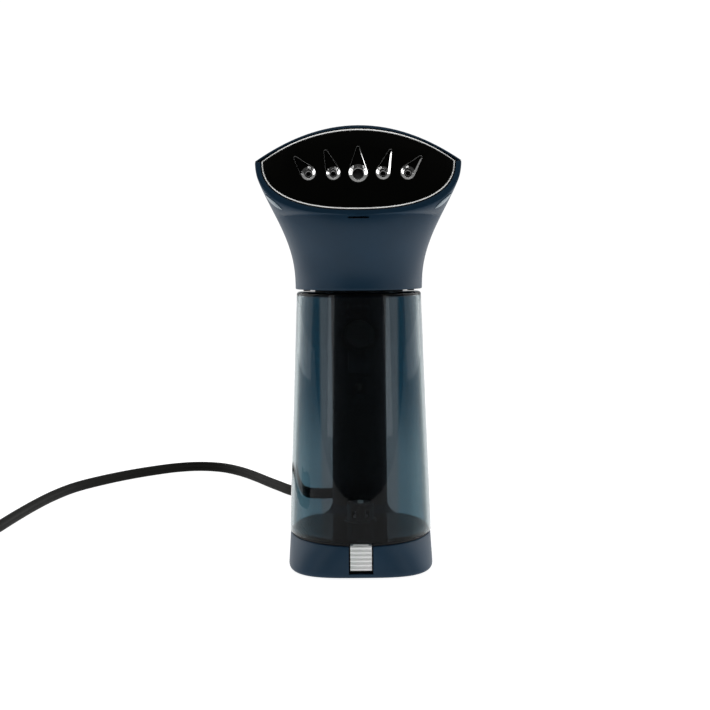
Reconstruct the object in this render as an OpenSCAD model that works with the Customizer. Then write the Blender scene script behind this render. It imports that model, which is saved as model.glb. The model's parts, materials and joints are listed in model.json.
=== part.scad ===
// Handheld garment steamer: sole plate head on top, clip-in water tank in front,
// grip behind, flat base underneath. Front is -Y, up is +Z, the origin is on the
// floor under the tank's axis. Millimetres.

/* [Tank] */
// Height of the tank's underside above the floor
tank_z = 22.3; // [22:0.1:23]
// Height of the tank's top above the floor
tank_top_z = 178.8; // [178:0.1:178.8]
// Tank radius at its underside
tank_r_low = 46.6; // [45:0.1:47]
// Tank radius at its top
tank_r_high = 40.4; // [39:0.1:41]
// Tank wall thickness
tank_wall = 2.2; // [1.8:0.1:2.6]
// Filler port centre height
filler_z = 148; // [140:1:150]

/* [Head] */
// Height of the head's underside
neck_z = 180.5; // [180.5:0.1:181.5]
// Half width of the head at its underside
neck_hw = 41.1; // [40:0.1:42]
// Half width of the head at the corners of its face
face_hw = 62.3; // [60:0.1:64]
// Height from the head's underside to the corners of its face
corner_rise = 78.2; // [77:0.1:80]
// How far the face drops below its corners, measured upright
face_drop = 32; // [30:0.5:33]
// How far the face rises above its corners, measured along the face
face_crown = 22.3; // [22:0.1:24]
// Backward tilt of the face in degrees
face_tilt = 12; // [10:0.5:14]
// Wall of the plastic shells
shell_wall = 2.4; // [2:0.1:2.8]

/* [Steam plate] */
// Half width of the bright bezel
bezel_hw = 58.3; // [57:0.1:59]
// Spacing of the steam nozzles
nozzle_pitch = 15; // [14:0.1:15.5]

/* [Base and grip] */
// Half width of the base
base_hw = 47.2; // [46:0.1:48]
// Top of the base shell
base_top = 20.3; // [20:0.1:20.5]
// How far the base and head reach behind the tank's axis
back_y = 119; // [117:1:122]
// Half width of the grip
grip_hw = 20.7; // [20:0.1:21]
// Front face of the grip at its foot
grip_front_y = 78; // [77:0.5:79]

/* [Controls] */
// Width of the tank latch
latch_w = 13.5; // [12:0.1:14]
// Width of the trigger
trigger_w = 15; // [13:0.1:15]
// Place of the power button behind the tank's axis
button_y = 62; // [58:1:64]
// Place of the indicator lens behind the tank's axis
lens_y = 76; // [73:1:78]

/* [Cord] */
// Width of the flat two-core cord
cord_w = 8.6; // [8:0.1:9]
// Thickness of the flat two-core cord
cord_t = 4.6; // [4:0.1:5]

/* [Hidden] */
$fn = 64;
SKIN = 0.01;            // reach of a cutting tool past the face it opens

// Places worked out from the driving sizes
corner_z = neck_z + corner_rise;
face_low_z = corner_z - face_drop;
face_low_y = -60;
face_corner_y = face_low_y + face_drop * tan(face_tilt);
rim_level = (corner_rise - face_drop) / corner_rise;
tail_y = 85;            // where the plan outline starts to close in a half ellipse
tail_hw = 22;         // half width of the outline there
rear_low_y = 36;        // tank's flat back at its underside
rear_high_y = 29;       // tank's flat back at its top
rear_lean = atan((rear_low_y - rear_high_y) / (tank_top_z - tank_z));
deck_top = tank_z - 0.3;
valve_y = 12;           // water outlet under the tank
grip_y = 98;            // middle of the grip
pump_z = 52;
pump_len = 46;
trigger_pivot = [0, 92, 163];
latch_front_y = -46.9;
seam = 0.25;            // gap between the two halves of the head

// Free cord: route on the floor from the strain relief to the coil
exit_y = 148;
exit_z = 12;
lie_z = cord_w / 2;
plug_r = 7.6;           // half height of the plug, which lies on the floor
coil_at = [-331, 34];
coil_r = 47.3;          // middle of the turns
coil_pitch = 8.8;
coil_low = 0.8;
route = [
    [0, 148, 12], [0, 157, 12], [-4, 169, 11], [-13, 180, 9.5], [-25, 189, 7.5],
    [-37, 197, 5.8], [-49, 207, 4.7], [-59, 220, lie_z], [-68, 236, lie_z],
    [-79, 256, lie_z], [-92, 281, lie_z], [-107, 306, lie_z], [-123, 325, lie_z],
    [-138, 334, lie_z], [-153, 336, lie_z], [-167, 332, lie_z], [-181, 323, lie_z],
    [-204, 301, lie_z], [-226, 272, lie_z], [-244, 239, lie_z], [-254, 203, lie_z],
    [-260, 164, lie_z], [-264, 124, lie_z], [-267, 86, lie_z], [-271, 58, 4.7],
    [-275, 34, 5.1]
];
// Free end: from the coil's outer upper turn to the plug beside it
end_route = [
    [-387, 34, 13.9], [-387, 48, 13.3], [-388, 62, 11.6], [-390, 76, 9.3],
    [-391, 88, 8], [-391, 98, plug_r]
];
plug_at = [-391, 98, plug_r];

// ---------------------------------------------------------------- functions

function clamp(t) = min(1, max(0, t));
function ease(t) = 0.5 - 0.5 * cos(180 * clamp(t));
function lerp(a, b, t) = a + (b - a) * t;
function face_y(z) = face_low_y + (z - face_low_z) * tan(face_tilt);
function unit(v) = v / norm(v);

// One quarter of a superellipse from the front point to the widest point
function quarter(front, side, n, count) = [
    for (i = [0:count - 1]) let (u = 90 * i / count)
    [front[0] + (side[0] - front[0]) * pow(sin(u), 2 / n),
     side[1] + (front[1] - side[1]) * pow(cos(u), 2 / n)]
];

// Outline behind the widest point: narrows to the tail and closes round
function back_outline(side, inset) = concat(
    [for (i = [0:11]) let (y = lerp(side[1], tail_y, i / 12))
     [lerp(side[0], tail_hw - inset, ease((y - side[1]) / (tail_y - side[1]))), y]],
    [for (a = [0:10:80])
     [(tail_hw - inset) * cos(a), tail_y + (back_y - tail_y - inset) * sin(a)]]
);

// Head: rise of the parting line above the underside, highest at the face
function part_rise(y) = corner_rise - 42 * ease((y + 45) / (back_y + 45));

function lid_crown(y) = lerp(face_crown * cos(face_tilt), 14, ease((y + 50) / 130)) *
    (y > tail_y ? sqrt(max(0.001, 1 - pow((y - tail_y) / (back_y + 0.5 - tail_y), 2))) : 1);
function lid_z(y) = neck_z + part_rise(y) + seam + lid_crown(y);
function lid_lean(y) = atan((lid_z(y - 3) - lid_z(y + 3)) / 6);

// Half of one level outline of the head; level 0 is the underside, 1 the parting line
function head_ring(level, inset, extra = 0) =
    let (
        v = (inset + level * (corner_rise - inset)) / corner_rise,
        z_front = neck_z + v * corner_rise,
        hw = lerp(neck_hw, face_hw, ease(pow(clamp(v), 1.35))) - inset,
        on_face = v > rim_level,
        fall = clamp((corner_z - z_front) / face_drop),
        front_x = on_face ? max(0.5, face_hw * pow(1 - pow(fall, 2.4), 1 / 2.4) - inset) : 0.5,
        neck_front = lerp(-neck_hw, face_low_y, ease(pow(clamp(v / rim_level), 1.2))),
        front_y = (on_face ? face_y(z_front) : neck_front) + inset,
        side = [hw, lerp(0, -45, ease(v))],
        n = lerp(2, 2.3, clamp(v)),
        plan = concat(quarter([min(front_x, hw - 0.01), front_y], side, n, 9),
                      back_outline(side, inset))
    )
    [for (p = plan) [p[0], p[1], neck_z + inset + level * (part_rise(p[1]) - inset) + extra]];

// Base: half outline at height z, with a rounded lower edge and a squarer foot
function foot_inset(z) = let (rise = z - foot_z - foot_r)
    rise < 0 ? foot_r - sqrt(max(0, foot_r * foot_r - rise * rise)) : 0.04 * rise;
function base_ring(z, inset) =
    let (
        d = foot_inset(z) + inset,
        n = lerp(3.4, 2.1, clamp((z - 3) / 17)),
        side = [base_hw - d, 8]
    )
    [for (p = concat(quarter([0.5, -46.6 + d], side, n, 12), back_outline(side, d)))
     [p[0], p[1], z]];

// Grip: full outline at height z
function grip_ring(z, inset) =
    let (
        t = clamp((z - base_top) / (neck_z - base_top)),
        waist = 1.8 * sin(180 * t),
        front = grip_front_y + waist + inset,
        back = back_y - 1 - waist - inset,
        hw = grip_hw - 0.4 * sin(180 * t) - inset,
        mid = (front + back) / 2,
        n = 2.5
    )
    [for (i = [0:39]) let (a = 9 * i)
     [hw * sign(cos(a)) * pow(abs(cos(a)), 2 / n),
      mid + (back - front) / 2 * sign(sin(a)) * pow(abs(sin(a)), 2 / n), z]];

// Eye-shaped face outline: superellipse below the corners, one arc above them
function eye(hw, low, crown) =
    let (r = (hw * hw + crown * crown) / (2 * crown), a0 = asin(hw / r), n = 2.4)
    concat(
        [for (i = [0:35]) let (a = 180 + 5 * i)
         [hw * sign(cos(a)) * pow(abs(cos(a)), 2 / n), -low * pow(abs(sin(a)), 2 / n)]],
        [for (i = [0:17]) let (a = lerp(a0, -a0, i / 18))
         [r * sin(a), crown - r + r * cos(a)]]
    );

// Smooth curve through route points, and rings of a tube swept along it
function spline(p, i, t) =
    let (
        a = p[max(0, i - 1)], b = p[i], c = p[i + 1], d = p[min(len(p) - 1, i + 2)]
    )
    0.5 * (2 * b + (c - a) * t + (2 * a - 5 * b + 4 * c - d) * t * t
           + (3 * b - a - 3 * c + d) * t * t * t);
function smooth(p, steps) = concat(
    [for (i = [0:len(p) - 2], k = [0:steps - 1]) spline(p, i, k / steps)],
    [p[len(p) - 1]]
);
function heading(p, i) = unit(p[min(len(p) - 1, i + 1)] - p[max(0, i - 1)]);

// ------------------------------------------------------------ shape modules

// Closed solid through full rings of points, lowest first
module loft(rings) {
    n = len(rings[0]);
    k = len(rings);
    polyhedron(
        points = [for (r = rings) each r],
        faces = concat(
            [[for (j = [0:n - 1]) j]],
            [for (i = [0:k - 2], j = [0:n - 1])
             let (a = i * n + j, b = i * n + (j + 1) % n)
             each [[a, a + n, b + n], [a, b + n, b]]],
            [[for (j = [n - 1:-1:0]) (k - 1) * n + j]]
        ),
        convexity = 6);
}

// Closed solid through half outlines mirrored in X, lowest first
module mirrored_loft(halves) {
    m = len(halves[0]);
    n = 2 * m;
    k = len(halves);
    top = (k - 1) * n;
    polyhedron(
        points = [for (h = halves)
                  each concat(h, [for (j = [m - 1:-1:0]) [-h[j][0], h[j][1], h[j][2]]])],
        faces = concat(
            [for (i = [0:k - 2], j = [0:n - 1])
             let (a = i * n + j, b = i * n + (j + 1) % n)
             each [[a, a + n, b + n], [a, b + n, b]]],
            [for (j = [0:m - 2])
             each [[j, j + 1, n - 2 - j], [j, n - 2 - j, n - 1 - j]]],
            [for (j = [0:m - 2])
             each [[top + j, top + n - 1 - j, top + n - 2 - j],
                   [top + j, top + n - 2 - j, top + j + 1]]]
        ),
        convexity = 6);
}

// Grid of points over a half outline: an arc at the face, rounder towards the tail
lid_half = 7;
lean_reach = 40;        // how far back the lid follows the lean of the face
function lid_points(edge, drop) = [
    for (i = [0:len(edge) - 1], j = [-lid_half:lid_half])
    let (
        p = edge[i],
        q = sin(90 * j / lid_half),
        shape = lerp(1, 0.5, ease((p[1] + 50) / 110)),
        up = max(0.2, lid_crown(p[1]) - drop) * pow(max(0, 1 - q * q), shape)
    )
    [p[0] * q, p[1] + up * tan(face_tilt) * clamp(1 - (p[1] - edge[0][1]) / lean_reach), p[2] + up]
];

// Hollow crowned lid, open underneath, its edge on the two half outlines
module crowned_lid(edge, inner_edge, wall) {
    rows = len(edge);
    k = 2 * lid_half + 1;
    n = rows * k;
    function turn(f, inside) = inside ? [f[2], f[1], f[0]] : f;
    polyhedron(
        points = concat(lid_points(edge, 0), lid_points(inner_edge, wall)),
        faces = concat(
            [for (s = [0, 1], i = [0:rows - 2], j = [0:k - 2]) let (a = s * n + i * k + j)
             each [turn([a, a + k, a + k + 1], s == 1), turn([a, a + k + 1, a + 1], s == 1)]],
            [[for (j = [0:k - 1]) j],
             [for (j = [k - 1:-1:0]) n + j],
             [for (j = [k - 1:-1:0]) (rows - 1) * k + j],
             [for (j = [0:k - 1]) n + (rows - 1) * k + j]],
            [for (i = [0:rows - 2]) let (r = i * k + k - 1, l = i * k)
             each [[r, r + k, n + r + k], [r, n + r + k, n + r],
                   [l, n + l, n + l + k], [l, n + l + k, l + k]]],
            [[0, k - 1, n + k - 1], [0, n + k - 1, n],
             [n - k, n + n - k, n + n - 1], [n - k, n + n - 1, n - 1]]
        ),
        convexity = 6);
}

// Flat band or round tube swept along points; w is its upright size
module swept(points, w, t, sides) {
    loft([for (i = [0:len(points) - 1])
        let (
            f = heading(points, i),
            s = unit(cross(abs(f[2]) > 0.9 ? [0, 1, 0] : [0, 0, 1], f)),
            u = cross(f, s)
        )
        [for (j = [0:sides - 1]) let (a = 360 * j / sides)
         points[i] + s * (t / 2 * cos(a)) + u * (w / 2 * sin(a))]]);
}

// Helical compression spring standing on z = 0
module coil_spring(r, wire, height, turns) {
    steps = 10;
    swept([for (i = [0:turns * steps])
           let (a = 360 * i / steps)
           [r * cos(a), r * sin(a), wire / 2 + (height - wire) * i / (turns * steps)]],
          wire, wire, 6);
}

// Puts children on the steam plate: X across, Y up the plate, Z out of its face
module on_face() {
    translate([0, face_corner_y, corner_z]) rotate([90 - face_tilt, 0, 0]) children();
}

module eye_slab(hw, low, crown, from, to) {
    translate([0, 0, from]) linear_extrude(to - from) polygon(eye(hw, low, crown));
}

// Puts children on the tank's flat back: Y down it, Z out of it
module on_tank_back(z) {
    translate([0, lerp(rear_low_y, rear_high_y, (z - tank_z) / (tank_top_z - tank_z)), z])
        rotate([rear_lean - 90, 0, 0]) children();
}

// Puts children on the head cover's ridge: Z out of it
module on_lid(y) {
    translate([0, y, lid_z(y)]) rotate([-lid_lean(y), 0, 0]) children();
}

module screw(at, length, head_r = 2.7, shank_r = 1.25) {
    translate(at) difference() {
        union() {
            translate([0, 0, -1.4]) cylinder(r = head_r, h = 1.4);
            cylinder(r = shank_r, h = length);
        }
        for (a = [0, 90]) rotate([0, 0, a])
            translate([-1.5, -0.3, -1.4 - SKIN]) cube([3, 0.6, 0.8]);
    }
}

// Plate with a side outline drawn in Y and Z, centred in X or starting at x
module side_outline(width) {
    rotate([90, 0, 90]) linear_extrude(width, center = true) children();
}

module side_outline_at(x, width) {
    translate([x, 0, 0]) rotate([90, 0, 90]) linear_extrude(width) children();
}

// --------------------------------------------------------------------- head

neck_screw_at = [for (x = [-19, 19], y = [-18, 16]) [x, y]];

module face_opening(depth) {
    on_face() eye_slab(bezel_hw + 0.7, 30.1, 20.9, -depth, 30);
}

// Lens-shaped prisms on the shoulders beside the face, long axis along the rim
module catch_shape() {
    for (s = [-1, 1]) {
        along = unit([s * 8.9, 0, 8.3]);
        out = unit([s * 0.59, -0.47, -0.6327]);
        across = cross(along, out);
        multmatrix([
            [across[0], along[0], out[0], s * 51.4],
            [across[1], along[1], out[1], -54.6],
            [across[2], along[2], out[2], 234.2],
            [0, 0, 0, 1]
        ]) intersection() {
            translate([-9.15, 0, -2.4]) cylinder(r = 11.4, h = 4.8);
            translate([9.15, 0, -2.4]) cylinder(r = 11.4, h = 4.8);
        }
    }
}

module head_shroud() {
    color([0.13, 0.2, 0.29]) difference() {
        mirrored_loft([for (i = [0:16]) head_ring(i / 16, 0)]);
        mirrored_loft([for (i = [0:12]) head_ring(i / 12 * 1.02, shell_wall)]);
        face_opening(6.8);
        catch_shape();
        translate([0, grip_y, neck_z - 1]) cylinder(r = 12, h = 8);
        for (p = neck_screw_at) translate([p[0], p[1], neck_z - 1]) cylinder(r = 1.25, h = 8);
        on_face() translate([-6.3, -35, -3]) cube([12.6, 1.3, 6]);
    }
}

module head_cover() {
    color([0.13, 0.2, 0.29]) difference() {
        crowned_lid(head_ring(1, 0, seam), head_ring(1, shell_wall, seam), shell_wall + 1.2);
        face_opening(6.8);
        on_lid(button_y) translate([0, 0, -20]) cylinder(r = 7.2, h = 40);
        on_lid(lens_y) translate([0, 0, -8]) cylinder(r = 1.6, h = 16);
    }
}

module neck_plate() {
    color([0.06, 0.06, 0.07]) difference() {
        translate([-27.5, -30, tank_top_z + 0.35])
            cube([55, 56, neck_z - tank_top_z - 0.35]);
        for (p = neck_screw_at) translate([p[0], p[1], tank_top_z]) cylinder(r = 2.7, h = 5);
    }
}

module tank_bumpers() {
    color([0.05, 0.05, 0.05]) for (s = [-1, 1])
        translate([s * 33.8, 0, tank_top_z + 0.35]) cylinder(r = 2.3, h = neck_z - tank_top_z - 0.35);
}

nozzles = [for (i = [-2:2]) [
    i * nozzle_pitch,
    i == 0 ? 5.8 : (abs(i) == 1 ? 4.3 : 4.4),
    i == 0 ? 3.7 : 1.9,
    i == 0 ? 16.3 : (abs(i) == 1 ? 15 : 13),
    i == 0 ? 0 : (abs(i) == 1 ? 19 : 40) * -sign(i)
]];
nozzle_v = -7.05;

module teardrop(r, apex, turn) {
    rotate([0, 0, turn]) union() {
        circle(r = r);
        polygon([[0.95 * r, 0], [0, apex], [-0.95 * r, 0]]);
    }
}

module steam_plate() {
    color([0.03, 0.03, 0.03]) on_face() difference() {
        eye_slab(bezel_hw - 1, 28.4, 19.2, -4.4, -0.3);
        for (n = nozzles) translate([n[0], nozzle_v, 0]) {
            translate([0, 0, -1.9]) linear_extrude(3) teardrop(n[1], n[3], n[4]);
            translate([0, 0, -6]) cylinder(r = n[2], h = 8);
        }
    }
}

module plate_bezel() {
    color([0.8, 0.8, 0.8]) on_face() difference() {
        eye_slab(bezel_hw, 29.4, 20.2, -3, 0.4);
        eye_slab(bezel_hw - 1, 28.4, 19.2, -4, 1);
    }
}

module nozzle_inserts() {
    color([0.75, 0.75, 0.77]) on_face() for (n = nozzles)
        translate([n[0], nozzle_v, -1.9]) difference() {
            cylinder(r = n[1], h = 1.1);
            translate([0, 0, -1]) cylinder(r = n[2], h = 3);
        }
}

module plate_gasket() {
    color([0.07, 0.07, 0.07]) on_face() difference() {
        eye_slab(bezel_hw + 0.7, 30.1, 20.9, -6.4, -1);
        eye_slab(bezel_hw, 29.4, 20.2, -3, 1);
        eye_slab(bezel_hw - 3, 26.4, 17.2, -7, 0);
        eye_slab(bezel_hw - 1, 28.4, 19.2, -4.4, 0);
    }
}

boiler_back = -16;

module element_path(r) {
    translate([22, 0, boiler_back]) rotate([0, 0, -90]) rotate_extrude(angle = 180)
        translate([9, 0]) circle(r = r);
    for (v = [-9, 9]) translate([-26, v, boiler_back]) rotate([0, 90, 0]) cylinder(r = r, h = 48);
}

module boiler_block() {
    color([0.62, 0.63, 0.64]) on_face() difference() {
        translate([0, -1, 0]) eye_slab(50, 24, 15, boiler_back, -4.4);
        translate([0, -1, 0]) eye_slab(45, 19.5, 11.5, -8, -4.4 + SKIN);
        element_path(3.2);
        translate([0, -18.5, boiler_back - 1]) cylinder(r = 2.2, h = 12);
    }
}

module heating_element() {
    color([0.45, 0.42, 0.4]) on_face() element_path(3.2);
}

module boiler_cover() {
    color([0.7, 0.71, 0.72]) on_face() difference() {
        union() {
            translate([0, -1, 0]) eye_slab(50, 24, 15, -20.8, -19.3);
            translate([0, -18.5, -27]) cylinder(r = 3, h = 7);
            translate([0, -18.5, -19.3]) cylinder(r = 3, h = 3.3);
            for (s = [-1, 1]) translate([s * 42, -3, -19.3]) cylinder(r = 3, h = 3.3);
        }
        translate([0, -18.5, -28]) cylinder(r = 1.9, h = 14);
    }
}

module thermostat() {
    color([0.5, 0.5, 0.52]) on_face() translate([-16, 0, -28.8]) {
        cylinder(r = 7.5, h = 8);
        translate([-11, -3, 7]) cube([22, 6, 1]);
        for (s = [-1, 1]) translate([s * 4 - 0.4, -3, -7]) cube([0.8, 6, 7 + SKIN]);
    }
}

module thermal_fuse() {
    color([0.85, 0.84, 0.8]) on_face() translate([8, 2, -23.1]) rotate([0, 90, 0]) {
        cylinder(r = 2.3, h = 15);
        translate([0, 0, -5]) cylinder(r = 0.6, h = 25);
    }
}

module heat_shield() {
    color([0.75, 0.76, 0.77]) on_face() difference() {
        translate([0, -1, 0]) eye_slab(48, 22, 13, -38.4, -37.6);
        translate([0, -18.5, -40]) cylinder(r = 4, h = 6);
        translate([-16, 0, -40]) cylinder(r = 8.5, h = 6);
    }
}

module head_screws() {
    color([0.7, 0.7, 0.7]) for (p = neck_screw_at)
        screw([p[0], p[1], neck_z], 5.5);
}

module brush_catches() {
    color([0.45, 0.53, 0.57]) intersection() {
        catch_shape();
        difference() {
            translate([0, 0, 0.35]) mirrored_loft([for (i = [8:14]) head_ring(i / 16, -0.35)]);
            mirrored_loft([for (i = [0:12]) head_ring(i / 12 * 1.02, shell_wall)]);
        }
    }
}

module power_button() {
    color([0.1, 0.11, 0.12]) on_lid(button_y) difference() {
        union() {
            translate([0, 0, -8]) cylinder(r = 6.8, h = 9);
            translate([0, 0, -9.6]) cylinder(r = 8.6, h = 1.6);
            translate([0, 0, 1]) rotate_extrude() intersection() {
                translate([0, -22]) circle(r = 23.2, $fn = 128);
                square([6, 4]);
            }
        }
        translate([0, 0, -10]) cylinder(r = 5.4, h = 9);
    }
}

module indicator_lens() {
    color([0.9, 0.45, 0.15]) on_lid(lens_y) translate([0, 0, -3.6]) {
        cylinder(r = 1.6, h = 4);
        translate([0, 0, -0.8]) cylinder(r = 2.6, h = 0.8);
    }
}

// --------------------------------------------------------------------- grip

grip_levels = [for (i = [0:13]) lerp(base_top, neck_z, i / 13)];
split_y = 100;
grip_screw_z = [33, 170];
ear_x = 9;
ear_t = 4;

module grip_outer() {
    loft([for (z = grip_levels) grip_ring(z, 0)]);
}

module grip_inner() {
    loft([for (i = [0:13]) grip_ring(lerp(base_top - 1, neck_z + 1, i / 13), shell_wall)]);
}

module grip_front() {
    color([0.05, 0.05, 0.06]) difference() {
        intersection() {
            union() {
                difference() {
                    grip_outer();
                    grip_inner();
                }
                for (z = grip_screw_z) translate([0, grip_front_y, z]) rotate([-90, 0, 0])
                    cylinder(r = 3.4, h = split_y - grip_front_y);
                for (s = [-1, 1])
                    translate([s > 0 ? ear_x : -ear_x - ear_t, grip_front_y, trigger_pivot[2] - 6])
                        cube([ear_t, 19, 9]);
            }
            translate([-40, 40, 0]) cube([80, split_y - 40, 300]);
            grip_outer();
        }
        for (z = grip_screw_z) translate([0, grip_front_y + 8, z]) rotate([-90, 0, 0])
            cylinder(r = 1.25, h = 40);
        translate([-trigger_w / 2 - 0.5, grip_front_y - 4, 113.5]) cube([trigger_w + 1, 10, 54]);
        translate([-20, trigger_pivot[1], trigger_pivot[2]]) rotate([0, 90, 0])
            cylinder(r = 1.5, h = 40);
        translate([-4, grip_front_y - 4, 94.5]) cube([8, 10, 15]);
    }
}

module grip_rear() {
    color([0.13, 0.2, 0.29]) difference() {
        intersection() {
            union() {
                difference() {
                    grip_outer();
                    grip_inner();
                }
                for (z = grip_screw_z) translate([0, split_y, z]) rotate([-90, 0, 0])
                    cylinder(r = 3.6, h = 18);
            }
            translate([-40, split_y, 0]) cube([80, 40, 300]);
            grip_outer();
        }
        for (z = grip_screw_z) translate([0, split_y - 1, z]) rotate([-90, 0, 0]) {
            cylinder(r = 1.25, h = 30);
            translate([0, 0, 10.6]) cylinder(r = 2.7, h = 30);
        }
    }
}

module trigger() {
    py = trigger_pivot[1];
    pz = trigger_pivot[2];
    color([0.11, 0.13, 0.15]) difference() {
        union() {
            side_outline(trigger_w) polygon([
                [78, 165.5], [74.5, 162], [72, 156], [70.6, 148], [70.2, 139], [70.8, 130],
                [73, 122.5], [77, 118], [84, 117], [84, 110.8], [85.6, 110.8], [85.6, 124],
                [83, 131], [82.6, 148], [84, 157], [90, 159], [88, 165.5]
            ]);
            side_outline(trigger_w) translate([py, pz]) circle(r = 4.2);
            side_outline(5) polygon([[76, 131.5], [88.3, 131.5], [88.3, 136.5], [76, 138]]);
        }
        for (x = [-6, 2.5]) side_outline_at(x, 3.5) polygon([
            [75.6, 156], [73.4, 148], [73, 139], [73.6, 130], [76, 124], [86, 123], [86, 156]
        ]);
        translate([-20, py, pz]) rotate([0, 90, 0]) cylinder(r = 1.55, h = 40);
        translate([-3.4, py - 5, pz - 10]) cube([6.8, 20, 16]);
    }
}

module trigger_pin() {
    color([0.7, 0.7, 0.72]) translate([-ear_x - ear_t + 0.5, trigger_pivot[1], trigger_pivot[2]])
        rotate([0, 90, 0]) cylinder(r = 1.5, h = 2 * (ear_x + ear_t) - 1);
}

module trigger_spring() {
    r = 2.4;
    steps = 12;
    turns = 4;
    function turn(i) = let (a = 360 * i / steps)
        [-2.4 + 4.8 * i / (turns * steps), r * cos(a), r * sin(a)];
    color([0.75, 0.75, 0.75]) translate(trigger_pivot)
        swept(concat([[-2.4, 2.2, -9]], [for (i = [0:turns * steps]) turn(i)], [[2.4, 7, 1.5]]),
              0.7, 0.7, 6);
}

switch_z = 134;

module microswitch() {
    color([0.15, 0.15, 0.16]) difference() {
        union() {
            translate([-4, 93.2, switch_z - 8]) cube([8, 9.8, 16]);
            for (z = [-6, 0, 6]) translate([-1.6, 103, switch_z + z - 0.4]) cube([3.2, 3.4, 0.8]);
        }
        translate([0, 93, switch_z]) rotate([-90, 0, 0]) cylinder(r = 1.25, h = 8.6);
    }
}

module switch_plunger() {
    color([0.8, 0.2, 0.15]) translate([0, 88.6, switch_z]) rotate([-90, 0, 0])
        cylinder(r = 1.2, h = 7.4);
}

module steam_lock() {
    color([0.6, 0.62, 0.64]) difference() {
        union() {
            translate([-3.6, 77.6, 96]) cube([7.2, 6, 6]);
            translate([-5.6, 83.2, 94]) cube([11.2, 1.4, 10]);
        }
        for (z = [97.4, 99, 100.6]) translate([-4, 77.6, z]) rotate([0, 90, 0])
            cylinder(r = 0.45, h = 8);
    }
}

module pump() {
    color([0.3, 0.31, 0.33]) translate([0, grip_y, pump_z]) {
        cylinder(r = 9, h = pump_len);
        translate([0, 0, 10]) cylinder(r = 12.4, h = 24);
        translate([0, 0, -5.5]) cylinder(r = 1.6, h = pump_len + 11);
        for (z = [8.4, 34]) translate([-11, -11, z]) cube([22, 22, 1.6]);
    }
}

module pump_mounts() {
    color([0.05, 0.05, 0.05]) for (z = [3, pump_len - 9]) difference() {
        intersection() {
            grip_inner();
            translate([-30, 60, pump_z + z]) cube([60, 80, 3]);
        }
        translate([0, grip_y, pump_z + z - 1]) cylinder(r = 9, h = 6);
    }
}

inlet_route = [
    [0, 25, 12], [0, 45, 11], [0, 70, 11], [0, 87, 12.5], [4, 97, 19], [8.5, 98, 28],
    [8.5, 98, 35], [4, 98, 41], [0, 98, 46.4]
];
outlet_route = [
    [0, 98, 103.6], [0, 98, 108], [-5, 99, 117], [-9.5, 99.5, 127], [-9.5, 99.5, 145],
    [-9.5, 99.5, 165], [-6, 98, 180], [-3, 88, 196], [0, 65, 208], [0, 30, 220],
    [0, 0, 228.5], [0, -20, 232.6], [0, -30.6, 235]
];

module inlet_hose() {
    color([0.85, 0.85, 0.82]) swept(smooth(inlet_route, 3), 5, 5, 10);
}

module outlet_hose() {
    color([0.85, 0.85, 0.82]) swept(smooth(outlet_route, 3), 5, 5, 10);
}

module control_board() {
    color([0.1, 0.35, 0.2]) {
        translate([-9.4, 109, 116]) cube([18.8, 1.6, 44]);
        translate([-6, 103, 147]) cube([12, 6, 11]);
        for (x = [-6, 1]) translate([x + 2.5, 105, 120]) rotate([-90, 0, 0]) cylinder(r = 2.4, h = 4);
    }
}

module grip_screws() {
    color([0.7, 0.7, 0.7]) for (z = grip_screw_z)
        translate([0, split_y + 9.6, z]) rotate([90, 0, 0]) screw([0, 0, 0], 16);
}

// --------------------------------------------------------------------- tank

module tank_form(shrink, low, high) {
    slope = (tank_r_low - tank_r_high) / (tank_top_z - tank_z);
    intersection() {
        translate([0, 0, low])
            cylinder(r1 = tank_r_low - slope * (low - tank_z) - shrink,
                     r2 = tank_r_low - slope * (high - tank_z) - shrink, h = high - low, $fn = 128);
        on_tank_back(tank_z) translate([-80, -300, -200 - shrink]) cube([160, 600, 200]);
    }
}

hinge_down = -15.6;     // filler hinge above the port's centre, along the tank's back
hinge_out = 3;

module filler_hinge(r, length) {
    on_tank_back(filler_z) translate([-length / 2, hinge_down, hinge_out]) rotate([0, 90, 0])
        cylinder(r = r, h = length);
}

module tank_body() {
    color([0.3, 0.4, 0.46, 0.5]) difference() {
        union() {
            difference() {
                tank_form(0, tank_z, tank_top_z);
                tank_form(tank_wall, tank_z - 1, tank_top_z - tank_wall);
            }
            on_tank_back(filler_z) for (x = [-9.5, 6.5])
                translate([x, hinge_down - 2.4, -SKIN]) cube([3, 4.8, hinge_out + 2.4]);
        }
        on_tank_back(filler_z) translate([0, 0, -6]) cylinder(r = 11, h = 12);
        filler_hinge(1.55, 30);
    }
}

module tank_floor() {
    color([0.3, 0.4, 0.46, 0.5]) difference() {
        tank_form(tank_wall, tank_z, tank_z + 2.2);
        translate([0, valve_y, tank_z - 1]) cylinder(r = 3.4, h = 5);
    }
}

module filler_plug() {
    color([0.05, 0.05, 0.06]) {
        on_tank_back(filler_z) {
            translate([0, 0, 0.3]) cylinder(r = 13, h = 2.4);
            difference() {
                translate([0, 0, -2.2]) cylinder(r = 10, h = 2.6);
                translate([0, 0, -2.3]) cylinder(r = 8, h = 2.3);
            }
            translate([-6, hinge_down, 1.2]) cube([12, 6, 1.5]);
            translate([-5, 11, 0.3]) cube([10, 4.5, 2.4]);
        }
        filler_hinge(2, 12.4);
        filler_hinge(1.5, 18);
    }
}

floor_top = tank_z + 2.2;
guide_z = floor_top + 10;

module valve_housing() {
    color([0.75, 0.76, 0.77]) translate([0, valve_y, 0]) difference() {
        union() {
            translate([0, 0, floor_top]) cylinder(r = 9, h = 12);
            translate([0, 0, floor_top]) cylinder(r = 11, h = 1);
        }
        translate([0, 0, floor_top - 1]) cylinder(r = 7, h = 11);
        translate([0, 0, floor_top]) cylinder(r = 2.05, h = 20);
        for (a = [0:60:300]) rotate([0, 0, a]) translate([5, -1.6, floor_top + 3]) cube([6, 3.2, 5]);
    }
}

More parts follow.
